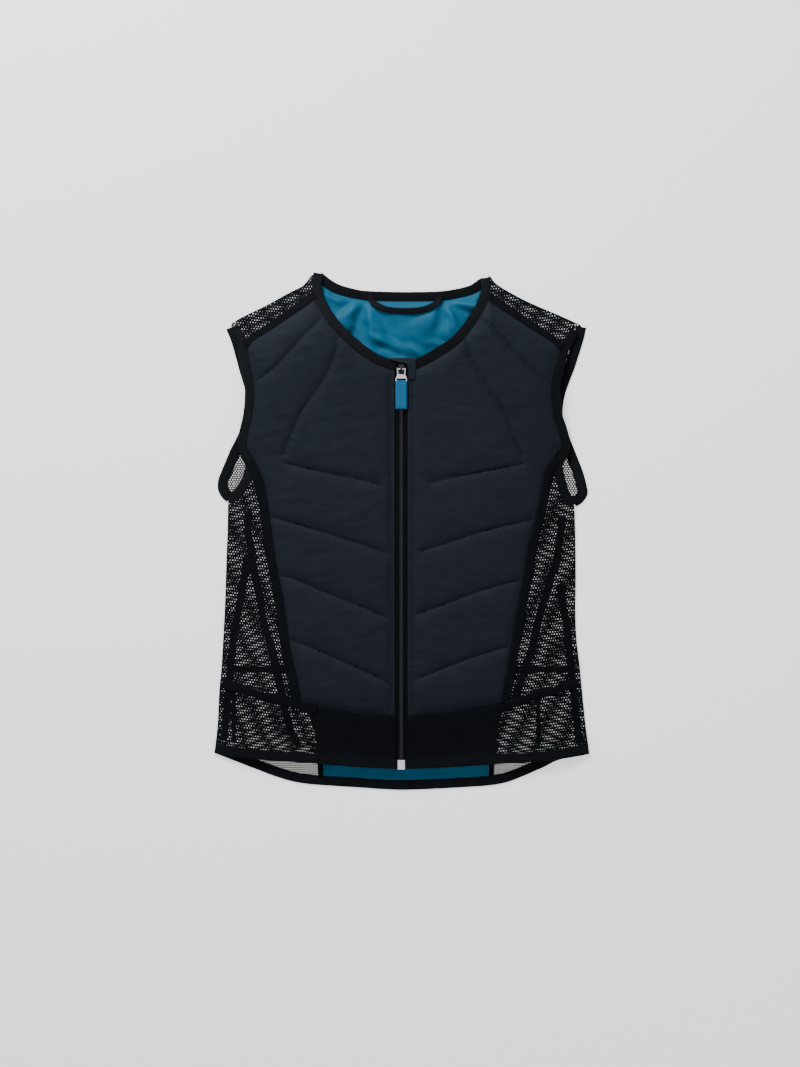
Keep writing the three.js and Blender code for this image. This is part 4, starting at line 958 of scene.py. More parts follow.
@dataclass
class Back:
    """The padded back with its lining, nets, tapes and bindings."""

    rows: int = 241
    columns: int = 151
    stride: int = 3
    puff: float = 3.2 * MM
    spread: float = 7 * MM
    tape: float = 9.5 * MM
    seam_tape: float = 7 * MM
    tape_half: float = 0.4 * MM
    tuck: float = 0.5 * MM

    def __post_init__(self) -> None:
        """Lays out the panel's grid."""
        self.neck = shift(PATTERN.back_neck, -self.tuck)
        self.hem = shift(PATTERN.back_hem, HEM_BINDING / 2)
        ends = {side: PATTERN.shoulder_seam(side, 4 * MM) for side in SIDES}
        self.top = np.concatenate([ends["left"], self.neck, ends["right"][::-1]])
        self.channels = [even(spline(points), 2.5 * MM) for points in BACK_CHANNELS]
        self.cut = {side: self.armhole_cut(side) for side in SIDES}
        armhole = {s: shift(self.cut[s], -OUTWARD[s] * self.tuck) for s in SIDES}
        rails = {}
        for side in SIDES:
            start = float(meeting(armhole[side], self.top)[1])
            y = np.linspace(start, 0.024 * LENGTH - MIDDLE, self.rows)
            rails[side] = side_rail(armhole[side], PATTERN.lines["back_seam"][side], y, OUTWARD[side])
        grid = bent(rails["left"], rails["right"], self.columns, self.top, self.hem)
        self.grid = snap(grid, self.channels, 1.1 * MM)
        points = self.grid.reshape(-1, 2)
        flats = (1 * MM, 1 * MM, 6.5 * MM, 7 * MM)
        rims = [(even(edge, 5 * MM), flat) for edge, flat in zip(self.edges(), flats)]
        rims += [(PATTERN.lines["armhole_back"][side], 7 * MM) for side in SIDES]
        self.values = quilting(points, self.channels, rims, self.spread)

    def heights(self) -> tuple[Array, Array]:
        """Lower and upper heights of the padding at each grid point."""
        full, pucker = self.values.T
        under = SEAM_HALF - CLOTH_HALF
        low = under - under * np.minimum(1, full * 1.6) + 0.1 * MM * pucker.clip(0)
        high = SEAM_HALF + CLOTH_HALF * 0.5 + self.puff * full + 0.12 * MM * pucker
        return np.maximum(low, 0), high

    def armhole_cut(self, side: str) -> Line:
        """The padding's edge at an armhole, behind the front's edge where a net fills the rest."""
        line = even(PATTERN.lines["armhole_back"][side], 4 * MM)
        behind = x_at(PATTERN.lines["armhole_front"][side], line[:, 1]) * OUTWARD[side] - 2 * MM
        upper = (line[:, 1] > 0.7 * LENGTH - MIDDLE) & (side == NETTED_ARMHOLE)
        x = np.abs(line[:, 0])
        return np.stack([np.where(upper, np.minimum(x, behind), x) * OUTWARD[side], line[:, 1]], axis=1)

    def edges(self) -> list[Line]:
        """The four edges of the padded back."""
        return [self.grid[:, 0], self.grid[:, -1], self.grid[0], self.grid[-1]]

    def panel(self, cloth: bpy.types.Material) -> bpy.types.Object:
        """The padded back."""
        low, high = self.heights()
        points = self.grid.reshape(-1, 2)
        shape = (self.rows, self.columns, 3)
        under = np.column_stack([points, low]).reshape(shape)
        over = np.column_stack([points, high]).reshape(shape)
        vertices, faces, _ = shell(under, over, self.stride)
        piece = make("quilted_back", vertices, faces, [cloth])
        return declare(piece, "quilted", "back_panel")

    def lining(self, cloth: bpy.types.Material) -> bpy.types.Object:
        """The coloured lining over the back's padding."""
        _, high = self.heights()
        fine = high.reshape(self.rows, self.columns)
        coarse = np.maximum(self.spanned(fine), fine).ravel()
        points = self.grid.reshape(-1, 2)
        x, y = points[:, 0], points[:, 1]
        full = self.values[:, 0]
        rim = np.min([nearest(points, even(edge, 5 * MM))[0] for edge in self.edges()], axis=0)
        loose = smooth((rim - 6.5 * MM) / (9 * MM))
        swell = self.folds(x, y) + 0.8 * MM + 0.12 * MM * ripple(x, y, 0.012, 5.0)
        z = coarse + 0.15 * MM + loose * (0.45 * MM + swell.clip(-0.2 * MM))
        grid = np.column_stack([points, z]).reshape(self.rows, self.columns, 3)
        ring = np.arange(grid.shape[0] * grid.shape[1]).reshape(grid.shape[:2])
        a, b, c, d = ring[:-1, :-1], ring[1:, :-1], ring[1:, 1:], ring[:-1, 1:]
        faces = np.stack([a, b, c, d], axis=-1).reshape(-1, 4).tolist()
        piece = make("inner_lining", grid.reshape(-1, 3), faces, [cloth])
        return declare(piece, "lining", "back_lining")

    def spanned(self, heights: Array) -> Array:
        """Heights that run straight between every few points, as the coarser face of the padding does."""
        rows, columns = heights.shape
        coarse = heights[::self.stride, ::self.stride]
        at = np.arange(columns) / self.stride
        wide = np.stack([np.interp(at, np.arange(coarse.shape[1]), row) for row in coarse])
        at = np.arange(rows) / self.stride
        return np.stack([np.interp(at, np.arange(coarse.shape[0]), column) for column in wide.T], axis=1)

    def folds(self, x: Array, y: Array) -> Array:
        """Folds of loose cloth that fan out from the loop's ends and run across the back."""
        points = np.stack([x, y], axis=1)
        depth = float(PATTERN.back_neck[:, 1].mean()) - y
        bend = ripple(x, y, 0.03, 9.0)
        wave = (y + 0.35 * x) * 2 * math.pi / 0.021 + 2.6 * ripple(x, y, 0.05, 3.0)
        total = 0.75 * np.sin(wave) * ripple(x, y, 0.05, 30.0).clip(0, 1)
        for end, lean in ((HANGER_LOOP[0], -0.5), (HANGER_LOOP[-1], 0.6)):
            away = points - spline([end, end])[0]
            run = np.linalg.norm(away, axis=1)
            angle = np.arctan2(away[:, 0], -away[:, 1]) - lean
            near = smooth((run - 0.012) / 0.022) * smooth((0.1 - run) / 0.06)
            total += 0.55 * near * np.sin(angle * 7 + 1.8 * bend + lean * 5) * np.exp(-((angle / 1.2) ** 2))
        near_neck = smooth((0.16 - depth) / 0.06) * smooth((depth - 0.004) / 0.01)
        near_hem = smooth((0.06 - (y - float(self.hem[:, 1].min()))) / 0.03)
        close = np.min([nearest(points, channel)[0] for channel in self.channels], axis=0)
        seam = 1.3 * MM * (1 - np.exp(-close / (3 * MM)))
        return seam + 8.5 * MM * total * np.clip(near_neck + 0.5 * near_hem + 0.1, 0, 1)

    def nets(self, yarn: bpy.types.Material) -> list[bpy.types.Object]:
        """The side and shoulder nets of the back."""
        made = []
        for side in SIDES:
            line = {name: sides[side] for name, sides in PATTERN.lines.items()}
            start = float(line["back_seam"][0, 1])
            end = float(line["armhole_back"][-1, 1])
            seam = between(line["back_seam"], -1, start, 1)
            hem_end = float(y_at(self.hem, line["side_fold"][-1, 0]))
            limits = sorted((seam[-1, 0], line["side_fold"][-1, 0]))
            hem = between(self.hem, *limits, 0)
            hem = hem if abs(hem[0, 0]) < abs(hem[-1, 0]) else hem[::-1]
            outline = [seam, hem, between(line["side_fold"], hem_end, end, 1)[::-1],
                       between(line["armhole_back"], end, start, 1)[::-1]]
            made.append(self.sheet("back_side_net", side, np.concatenate(outline), yarn))
            ends = PATTERN.shoulder_seam(side, 4 * MM)
            if side == NETTED_ARMHOLE:
                whole = even(line["armhole_back"], 4 * MM)
                apart = np.abs(whole[:, 0]) - np.abs(self.cut[side][:, 0]) > 0.3 * MM
                low, high = float(whole[apart, 1].min()), float(ends[0, 1]) + 3 * MM
                strip = [between(line["armhole_back"], low, high, 1),
                         between(self.cut[side], low, high, 1)[::-1]]
                made.append(self.sheet("armhole_net_back", side, np.concatenate(strip), yarn, fills=False))
            corner = self.neck[0] if side == "left" else self.neck[-1]
            fold = between(line["shoulder_fold"], min(corner[0], line["armhole_back"][0, 0]),
                           max(corner[0], line["armhole_back"][0, 0]), 0)
            fold = fold if abs(fold[0, 0]) < abs(fold[-1, 0]) else fold[::-1]
            outline = [ends, corner[None, :], fold, between(line["armhole_back"], float(ends[0, 1]), 1, 1)]
            made.append(self.sheet("shoulder_net_back", side, np.concatenate(outline), yarn))
        return made

    def sheet(
        self, name: str, side: str, outline: Line, yarn: bpy.types.Material, fills: bool = True,
    ) -> bpy.types.Object:
        """One net of the back, which fills a solid of its own or only part of one."""
        net = Net(turn=-1.0 * OUTWARD[side], stretch=0.98)
        piece = net.build(f"{name}_{side}_mesh", outline, PATTERN.back_net, [yarn])
        return declare(piece, "net", *([f"{name}_{side}"] if fills else []))

    def tapes(self, tape: bpy.types.Material, edging: bpy.types.Material) -> list[bpy.types.Object]:
        """The tapes on the back nets, and the folded bindings."""
        made = []
        for side in SIDES:
            outward = OUTWARD[side]
            seam = between(PATTERN.lines["back_seam"][side], -1, PATTERN.lines["back_seam"][side][3, 1], 1)
            paths = [
                ("back_side_tape", shift(seam, outward * self.seam_tape / 2), self.seam_tape, 0),
                ("gusset_long_tape", spline(GUSSET_LONG[side]), self.tape, 0),
                ("gusset_short_tape", spline(GUSSET_SHORT[side]), self.tape, 1),
                ("back_waist_tape", spline(BACK_WAIST[side]), 8 * MM, 2),
                ("lower_seam_tape", spline(LOWER_SEAM[side]), 5.5 * MM, 0),
            ]
            for name, path, width, layer in paths:
                piece = ribbon(f"{name}_{side}_strip", path, width, self.tape_half,
                               raised(PATTERN.back_net, (0.75 + layer * 0.9) * MM), [tape],
                               seed=outward)
                made.append(declare(piece, "binding", f"{name}_{side}"))
            piece = ribbon(f"armhole_binding_back_{side}_fold", PATTERN.lines["armhole_back"][side],
                           ARMHOLE_BINDING + 1.5 * MM, SEAM_HALF, PATTERN.back, [edging], Profile.FOLDED,
                           -outward, outward)
            made.append(declare(piece, "binding", f"armhole_binding_back_{side}"))
        neck = PATTERN.back_neck
        ends = [neck[end] + 3.5 * MM * (neck[end] - neck[near]) / np.linalg.norm(neck[end] - neck[near])
                for end, near in ((0, 1), (-1, -2))]
        neck = np.concatenate([ends[:1], neck, ends[1:]])
        for name, path, width, inward in (
            ("neck_binding_back", neck, NECK_BINDING, -1.0),
            ("hem_binding_back", self.hem, HEM_BINDING, 1.0),
        ):
            piece = ribbon(f"{name}_fold", path, width, SEAM_HALF, PATTERN.back, [edging], Profile.FOLDED,
                           inward, 4.0)
            made.append(declare(piece, "binding", name))
        return made

    def loop(self, edging: bpy.types.Material) -> bpy.types.Object:
        """The loop that the vest hangs from, its ends sewn down at the neck."""
        path = spline(HANGER_LOOP)
        low, high = float(path[:, 1].min()), float(path[:, 1].max())

        def height(x: Array, y: Array) -> Array:
            """The loop's height, which falls to the binding at its ends."""
            return 8.6 * MM - 5.6 * MM * smooth((y - low - 4 * MM) / (high - low - 8 * MM))

        piece = ribbon("hanging_loop", path, 8 * MM, 0.8 * MM, height, [edging], seed=2.0)
        return declare(piece, "binding", "hanger_loop")


def bevelled(
    name: str, parts: Sequence[tuple[Line, float, float]], bevel: float,
    finishes: Sequence[bpy.types.Material],
) -> bpy.types.Object:
    """Plates with rounded edges, as one piece.

    Args:
        name: the piece's name.
        parts: each plate's outline, lowest and highest level.
        bevel: the edges' radius.
        finishes: its materials.

    Returns:
        The piece, about the origin.
    """
    whole = bmesh.new()
    for outline, low, high in parts:
        corners = [whole.verts.new((x, y, low)) for x, y in outline]
        face = whole.faces.new(corners)
        risen = bmesh.ops.extrude_face_region(whole, geom=[face])
        moved = [item for item in risen["geom"] if isinstance(item, bmesh.types.BMVert)]
        bmesh.ops.translate(whole, verts=moved, vec=(0, 0, high - low))
    bmesh.ops.recalc_face_normals(whole, faces=whole.faces)
    bmesh.ops.bevel(whole, geom=list(whole.edges), offset=bevel, segments=2, profile=0.6, affect="EDGES",
                    clamp_overlap=True)
    mesh = bpy.data.meshes.new(name)
    whole.to_mesh(mesh)
    whole.free()
    for polygon in mesh.polygons:
        polygon.use_smooth = True
    for finish in finishes:
        mesh.materials.append(finish)
    piece = bpy.data.objects.new(name, mesh)
    bpy.context.scene.collection.objects.link(piece)
    return piece


@dataclass
class Zip:
    """The zip down the front with its slider, puller, stop and garage."""

    tooth_pitch: float = 3.05 * MM
    tooth_height: float = 2.0 * MM
    tape_width: float = 8.5 * MM
    tab_width: float = 15 * MM
    tab_length: float = 35 * MM
    tab_half: float = 1.3 * MM
    rib_pitch: float = 1.6 * MM
    bail_length: float = 15.7 * MM
    garage_half: float = 0.8 * MM

    def __post_init__(self) -> None:
        """Finds the zip's ends."""
        self.hinge_y = HINGE * LENGTH - MIDDLE
        self.bottom_y = PATTERN.hem_y + HEM_BINDING + 0.6 * MM

    def tapes(self, weave: bpy.types.Material) -> list[bpy.types.Object]:
        """The woven tapes on both sides of the teeth."""
        made = []
        for side in SIDES:
            x = ZIP_AXIS + OUTWARD[side] * (0.1 * MM + self.tape_width / 2)
            line = np.array([(x, self.bottom_y), (x, ZIP_TOP * LENGTH - MIDDLE + 14.5 * MM)])
            low = raised(PATTERN.front, -1.15 * MM)
            piece = ribbon(f"zip_tape_{side}_woven", even(line, 5 * MM), self.tape_width, 0.35 * MM, low,
                           [weave])
            made.append(declare(piece, "zip_tape", f"zip_tape_{side}"))
        return made

    def teeth(self, finish: bpy.types.Material) -> bpy.types.Object:
        """Two rows of teeth that mesh along the zip line."""
        half, tall = self.tooth_pitch * 0.25, self.tooth_height
        count = int((self.hinge_y - 5 * MM - self.bottom_y) / (self.tooth_pitch / 2))
        plan = np.array([(-2.7, 0.7), (-1.6, 0.7), (-0.9, 0.5), (-0.2, 0.55), (0.35, 0.9), (0.8, 0.75),
                         (0.95, 0), (0.8, -0.75), (0.35, -0.9), (-0.2, -0.55), (-0.9, -0.5),
                         (-1.6, -0.7), (-2.7, -0.7)])
        plan = plan * (MM, half)
        around = len(plan)
        levels = np.array([(0.0, 1.0), (0.72, 1.0), (1.0, 0.72)])
        vertices, faces = [], []
        for index in range(count):
            y = self.bottom_y + (index + 0.5) * self.tooth_pitch / 2
            outward = 1 if index % 2 else -1
            base = float(PATTERN.front(np.array(ZIP_AXIS), np.array(y))) - 0.7 * MM
            first = len(vertices)
            for height, width in levels:
                reach = -outward * (1 if height < 1 else 0.94)
                vertices += [(ZIP_AXIS + reach * px, y + py * width, base + tall * height) for px, py in plan]
            for level in range(2):
                ring, above = first + level * around, first + (level + 1) * around
                for k in range(around):
                    after = (k + 1) % around
                    faces.append([ring + k, ring + after, above + after, above + k])
            faces.append([first + 2 * around + k for k in range(around)])
            faces.append([first + k for k in range(around)][::-1])
            if outward > 0:
                faces[-2 * around - 2:] = [face[::-1] for face in faces[-2 * around - 2:]]
        piece = make("zip_teeth_row", np.array(vertices), [face[::-1] for face in faces], [finish])
        for polygon in piece.data.polygons:
            polygon.use_smooth = False
        return declare(piece, "black_metal", "zip_teeth")

    def tab(self, finish: bpy.types.Material) -> bpy.types.Object:
        """The ribbed pull, which wraps around the bail's bar."""
        rows, columns = 181, 17
        start = -self.bail_length - 0.3 * MM
        v = np.linspace(0, 1, rows)[:, None]
        u = np.linspace(-1, 1, columns)[None, :]
        y = start - v * self.tab_length + 0 * u
        rib = 0.5 + 0.5 * np.cos((y - start) * 2 * math.pi / self.rib_pitch)
        rim = np.clip(1 - np.abs(u) ** 14, 0, 1) ** 0.5 * np.clip(1 - np.abs(2 * v - 1) ** 40, 0, 1) ** 0.5
        frame_edge = smooth((np.abs(u) - 0.74) / 0.05)
        deep = np.where((v > 0.08) & (v < 0.94), 1 - 0.75 * frame_edge, 0.0)
        rise = (self.tab_half * (0.35 + 0.65 * rim)) + 0.28 * MM * rib * deep
        fall = -(self.tab_half * (0.35 + 0.65 * rim)) - 0.1 * MM * rib * deep
        x = u * self.tab_width / 2 + 0 * v
        top, low = np.dstack([x, y, rise]), np.dstack([x, y, fall])
        vertices, faces, _ = shell(top, low, 1)
        piece = make("pull_tab", vertices, faces, [finish])
        wrap = self.box(5.6 * MM, start - 1.2 * MM, start + 1.7 * MM)
        end = self.box(5.6 * MM, start + 1.35 * MM, start + 1.7 * MM)
        levels = [(wrap, -1.3 * MM, -0.75 * MM), (wrap, 0.75 * MM, 1.3 * MM), (end, -1.1 * MM, 1.1 * MM)]
        sleeve = bevelled("pull_sleeve", levels, 0.16 * MM, [finish])
        for part in (piece, sleeve):
            self.hang(part)
            declare(part, "tab", "puller_tab", body="puller")
        return piece

    def bail(self, finish: bpy.types.Material) -> bpy.types.Object:
        """The frame between the slider and the pull: two arms, a plate and a bar."""
        end = self.bail_length / MM
        arm = np.array([(-5.7, 0.8), (-4.3, 0.8), (-3.7, -7.2), (-5.2, -7.2)])
        plate = np.array([(-5.2, -6.9), (5.2, -6.9), (7.4, -12.3), (-7.4, -12.3)])
        leg = np.array([(-7.4, -12.1), (-6.2, -12.1), (-6.2, -end), (-7.5, -end)])
        parts = [arm, arm[::-1] * (-1, 1), plate, leg, leg[::-1] * (-1, 1)]
        thick = [(part * MM, -0.85 * MM, 0.85 * MM) for part in parts]
        bar = np.array([(-7.5, -end + 1), (7.5, -end + 1), (7.5, -end), (-7.5, -end)]) * MM
        axle = np.array([(-5.6, 0.7), (5.6, 0.7), (5.6, -0.7), (-5.6, -0.7)]) * MM
        thick += [(bar, -0.6 * MM, 0.6 * MM), (axle, -0.6 * MM, 0.6 * MM)]
        piece = bevelled("pull_bail", thick, 0.28 * MM, [finish])
        self.hang(piece)
        return declare(piece, "bare_metal", "puller_bail", body="puller")

    def box(self, half_width: float, low: float, high: float) -> Line:
        """A rectangle's corners."""
        return np.array([(-half_width, low), (half_width, low), (half_width, high), (-half_width, high)])

    def hang(self, piece: bpy.types.Object) -> None:
        """Moves a piece drawn about the hinge to where the puller lies."""
        base = float(PATTERN.front(np.array(ZIP_AXIS), np.array(self.hinge_y))) - SEAM_HALF
        rest = base + 2.9 * MM + self.tab_half
        tilt = math.asin((HINGE_HEIGHT - rest) / (self.bail_length + self.tab_length))
        place = Matrix.Translation((ZIP_AXIS, self.hinge_y, HINGE_HEIGHT)) @ Matrix.Rotation(tilt, 4, "X")
        piece.data.transform(place)

    def garage(self, cloth: bpy.types.Material) -> bpy.types.Object:
        """The flap of cloth that the slider parks under."""
        inner = np.array([(-15, 11.9), (-9, 10.3), (-3, 8.6), (4, 7.3), (7.7, 4.2), (9.3, -5),
                          (10.3, -13.8)]) * MM
        outer = np.array([(-15, 13.9), (-8, 14.1), (1, 14.3), (12, 14.4), (18.2, 12), (18.4, -4),
                          (17.6, -14)]) * MM
        grid = grid_between(self.curve(inner, 37), self.curve(outer, 37), 25)
        u = np.linspace(0, 1, 25)[None, :]
        v = np.linspace(0, 1, 37)[:, None]
        rim = np.clip(1 - np.abs(2 * u - 1) ** 8, 0, 1) ** 0.5
        rim = rim * np.clip(1 - np.abs(2 * v - 1) ** 16, 0, 1) ** 0.5
        lift = 1.3 * MM * (1 - u) * np.sin(np.pi * np.clip(v * 1.3, 0, 1))
        x, y = ZIP_AXIS + grid[..., 0], self.hinge_y + grid[..., 1]
        middle = PATTERN.front(x, y) + 2.1 * MM + lift
        half = self.garage_half * (0.25 + 0.75 * rim)
        vertices, faces, _ = shell(np.dstack([x, y, middle + half]), np.dstack([x, y, middle - half]), 1)
        piece = make("slider_garage", vertices, faces, [cloth])
        return declare(piece, "binding", "zip_garage")

    def curve(self, points: Line, count: int) -> Line:
        """A smooth line of a given number of points."""
        shares = [(x / HALF_WIDTH, (y + MIDDLE) / LENGTH) for x, y in points]
        line = spline(shares)
        return even(line, length_along(line)[-1] / (count - 1))


@dataclass
class Stitching:
    """Rows of thread, all in one piece."""

    length: float = 2.6 * MM
    gap: float = 0.6 * MM
    half_width: float = 0.3 * MM
    half_height: float = 0.16 * MM
    inset: float = 1.6 * MM
    vertices: list[tuple[float, float, float]] = field(default_factory=list)
    faces: list[list[int]] = field(default_factory=list)
    trees: dict[str, BVHTree] = field(default_factory=dict)

    def surface(self, piece: bpy.types.Object) -> BVHTree:
        """A piece's mesh, ready to be felt from above or below."""
        if piece.name not in self.trees:
            mesh = piece.data
            points = [vertex.co for vertex in mesh.vertices]
            faces = [list(face.vertices) for face in mesh.polygons]
            self.trees[piece.name] = BVHTree.FromPolygons(points, faces)
        return self.trees[piece.name]

    def run(self, line: Line, piece: bpy.types.Object, upward: bool = True) -> None:
        """Sews along a line on a piece.

        Args:
            line: where the stitches run, in the plane.
            piece: what they lie on.
            upward: True on its upper side, False on its lower.
        """
        tree = self.surface(piece)
        way = -1.0 if upward else 1.0
        path = even(line, 0.5 * MM)
        run = length_along(path)
        count = int(run[-1] / (self.length + self.gap))
        for index in range(count):
            start = index * (self.length + self.gap) + self.gap / 2
            ends = []
            for at in (start, start + self.length):
                x, y = float(np.interp(at, run, path[:, 0])), float(np.interp(at, run, path[:, 1]))
                hit = tree.ray_cast(Vector((x, y, -way * 0.2)), Vector((0, 0, way)))[0]
                if hit is None:
                    break
                ends.append(hit - Vector((0, 0, way)) * 0.1 * MM)
            if len(ends) == 2 and abs(ends[0].z - ends[1].z) < 0.35 * MM:
                self.stitch(*ends)

    def stitch(self, start: Vector, stop: Vector) -> None:
        """Adds one stitch between two points."""
        along = (stop - start).normalized()
        across = along.cross(Vector((0, 0, 1))).normalized() * self.half_width
        up = Vector((0, 0, self.half_height))
        first = len(self.vertices)
        inner, outer = start.lerp(stop, 0.18), start.lerp(stop, 0.82)
        ring = [across, up, -across, -up]
        points = [start, *[inner + side for side in ring], *[outer + side for side in ring], stop]
        self.vertices += [tuple(point) for point in points]
        for k in range(4):
            a, b = first + 1 + k, first + 1 + (k + 1) % 4
            self.faces += [[first, b, a], [a, b, b + 4, a + 4], [first + 9, a + 4, b + 4]]

    def build(self, name: str, thread: bpy.types.Material) -> bpy.types.Object:
        """All the stitches so far as one piece."""
        piece = make(name, np.array(self.vertices), self.faces, [thread])
        return declare(piece, "binding")


# Finishes


class Wire:
    """An output of a shader node, with arithmetic."""

    def __init__(self, tree: "Tree", socket: bpy.types.NodeSocket) -> None:
        """Keeps the tree and the socket."""
        self.tree = tree
        self.socket = socket

    def math(self, operation: str, *others: "Wire | float") -> "Wire":
        """A Math node on this value."""
        return self.tree.math(operation, self, *others)

    def __add__(self, other: "Wire | float") -> "Wire":
        """self + other."""
        return self.math("ADD", other)

    def __sub__(self, other: "Wire | float") -> "Wire":
        """self - other."""
        return self.math("SUBTRACT", other)

    def __mul__(self, other: "Wire | float") -> "Wire":
        """self * other."""
        return self.math("MULTIPLY", other)

    def __truediv__(self, other: "Wire | float") -> "Wire":
        """self / other."""
        return self.math("DIVIDE", other)

    def __rsub__(self, other: float) -> "Wire":
        """other - self."""
        return self.tree.math("SUBTRACT", other, self)

    __radd__ = __add__
    __rmul__ = __mul__


class Tree:
    """A material's node tree, built by value."""

    def __init__(self, name: str) -> None:
        """Starts an empty material."""
        self.material = bpy.data.materials.new(name)
        self.material.use_nodes = True
        self.nodes = self.material.node_tree.nodes
        self.links = self.material.node_tree.links
        self.nodes.clear()

    def node(self, kind: str, settings: dict | None = None, output: int | str = 0, **inputs: object) -> Wire:
        """Adds a node.

        Args:
            kind: the node's type, without the Shader prefix of its name.
            settings: its properties; "stops" holds a ramp's positions and colours.
            output: which output is wanted.
            inputs: values or wires by socket name, with _ for a space, or in0, in1 by number.

        Returns:
            The wanted output.
        """
        node = self.nodes.new(f"ShaderNode{kind}")
        for key, value in (settings or {}).items():
            if key == "stops":
                while len(node.color_ramp.elements) < len(value):
                    node.color_ramp.elements.new(0.5)
                for element, (position, colour) in zip(node.color_ramp.elements, value):
                    element.position, element.color = position, colour
            else:
                setattr(node, key, value)
        for key, value in inputs.items():
            numbered = key[:2] == "in" and key[2:].isdigit()
            socket = node.inputs[int(key[2:]) if numbered else key.replace("_", " ")]
            if isinstance(value, Wire):
                self.links.new(value.socket, socket)
            else:
                socket.default_value = value
        return Wire(self, node.outputs[output])

    def math(self, operation: str, *values: Wire | float) -> Wire:
        """A Math node on wires or numbers."""
        links = {f"in{i}": value for i, value in enumerate(values)}
        return self.node("Math", {"operation": operation}, **links)

    def blend(self, factor: Wire | float, first: object, second: object) -> Wire:
        """A colour between two colours."""
        settings = {"data_type": "RGBA", "clamp_factor": True}
        return self.node("Mix", settings, output=2, in0=factor, in6=first, in7=second)

    def cloth_axes(self) -> tuple[Wire, Wire, Wire]:
        """The cloth coordinates as a vector, and one by one."""
        place = self.node("UVMap", {"uv_map": "cloth"})
        parts = self.node("SeparateXYZ", in0=place)
        second = Wire(self, parts.socket.node.outputs[1])
        return place, parts, second

    def finish(self, **surface: object) -> bpy.types.Material:
        """Ends in a Principled surface with these values and wires."""
        shader = self.node("BsdfPrincipled", None, 0, **surface)
        self.node_output(shader)
        return self.material

    def node_output(self, shader: Wire) -> None:
        """Links the surface to the material's output."""
        output = self.nodes.new("ShaderNodeOutputMaterial")
        self.links.new(shader.socket, output.inputs[0])


def rgb(red: float, green: float, blue: float) -> tuple[float, float, float, float]:
    """A colour from 0 to 255 values as they look on a screen."""
    shares = (red / 255, green / 255, blue / 255)
    linear = [c / 12.92 if c <= 0.04045 else ((c + 0.055) / 1.055) ** 2.4 for c in shares]
    return (*linear, 1.0)


@dataclass(frozen=True)
class Cloth:
    """A woven or knitted finish."""

    name: str
    dark: tuple[float, float, float, float]
    light: tuple[float, float, float, float]
    weave: Weave
    yarn: float
    relief: float
    roughness: float = 0.7
    gloss: float = 0.1
    # Strength of the large clouds of tone: random mottle in most cloths, painted shade of the folds in the
    # lining
    mottle_and_fold_shade: float = 0.5
    cloudy: float = 0.02

    def material(self) -> bpy.types.Material:
        """Builds the finish."""
        tree = Tree(self.name)
        place, u, v = tree.cloth_axes()
        turn = 2 * math.pi / self.yarn
        if self.weave is Weave.PLAIN:
            threads = (u * turn).math("SINE") * (v * turn).math("SINE")
        elif self.weave is Weave.KNIT:
            slant = (u * (turn / 3)).math("SINE").math("ABSOLUTE")
            threads = (v * turn + slant * 3.0).math("SINE") * 0.5 + slant * 0.8
        elif self.weave is Weave.RIB:
            threads = (v * turn).math("SINE") + (u * (turn * 0.6)).math("SINE") * 0.3
        else:
            zigzag = (u / (self.yarn * 5)).math("PINGPONG", 1.0) * (self.yarn * 5)
            threads = ((v + zigzag) * turn).math("SINE")
        plane = {"noise_dimensions": "2D"}
        # Large clouds of darker and lighter tone: random mottle in most cloths, and in the lining painted shade
        # that stands in for its folds
        clouds_and_fold_shade = tree.node("TexNoise", plane, 0, Vector=place, Scale=1 / self.cloudy, Detail=4.0)
        specks = tree.node("TexNoise", plane, 0, Vector=place, Scale=0.9 / self.yarn, Detail=2.0)
        tone = clouds_and_fold_shade * self.mottle_and_fold_shade + specks * (0.7 - 0.4 * self.mottle_and_fold_shade) + threads * 0.1
        colour = tree.blend(tone * 1.3 - 0.25, self.dark, self.light)
        height = threads * 0.5 + specks * 0.6
        bump = tree.node("Bump", None, 0, Strength=self.relief, Distance=self.yarn * 0.35, Height=height)
        rough = specks * 0.16 + (self.roughness - 0.08)
        return tree.finish(Base_Color=colour, Roughness=rough, Normal=bump, Specular_IOR_Level=self.gloss)


@dataclass(frozen=True)
class Solid:
    """A moulded or metal finish with fine unevenness."""

    name: str
    dark: tuple[float, float, float, float]
    light: tuple[float, float, float, float]
    roughness: float
    metallic: float = 0.0
    grain: float = 0.002
    relief: float = 0.15
    gloss: float = 0.5

    def material(self) -> bpy.types.Material:
        """Builds the finish."""
        tree = Tree(self.name)
        place = tree.node("TexCoord", None, "Object")
        grain = tree.node("TexNoise", None, 0, Vector=place, Scale=1 / self.grain, Detail=5.0)
        smear = tree.node("TexNoise", None, 0, Vector=place, Scale=0.2 / self.grain, Detail=3.0)
        colour = tree.blend(smear * 1.4 - 0.2, self.dark, self.light)
        bump = tree.node("Bump", None, 0, Strength=self.relief, Distance=0.0001, Height=grain)
        rough = grain * 0.2 + smear * 0.12 + (self.roughness - 0.16)
        return tree.finish(Base_Color=colour, Roughness=rough, Metallic=self.metallic, Normal=bump,
                           Specular_IOR_Level=self.gloss)


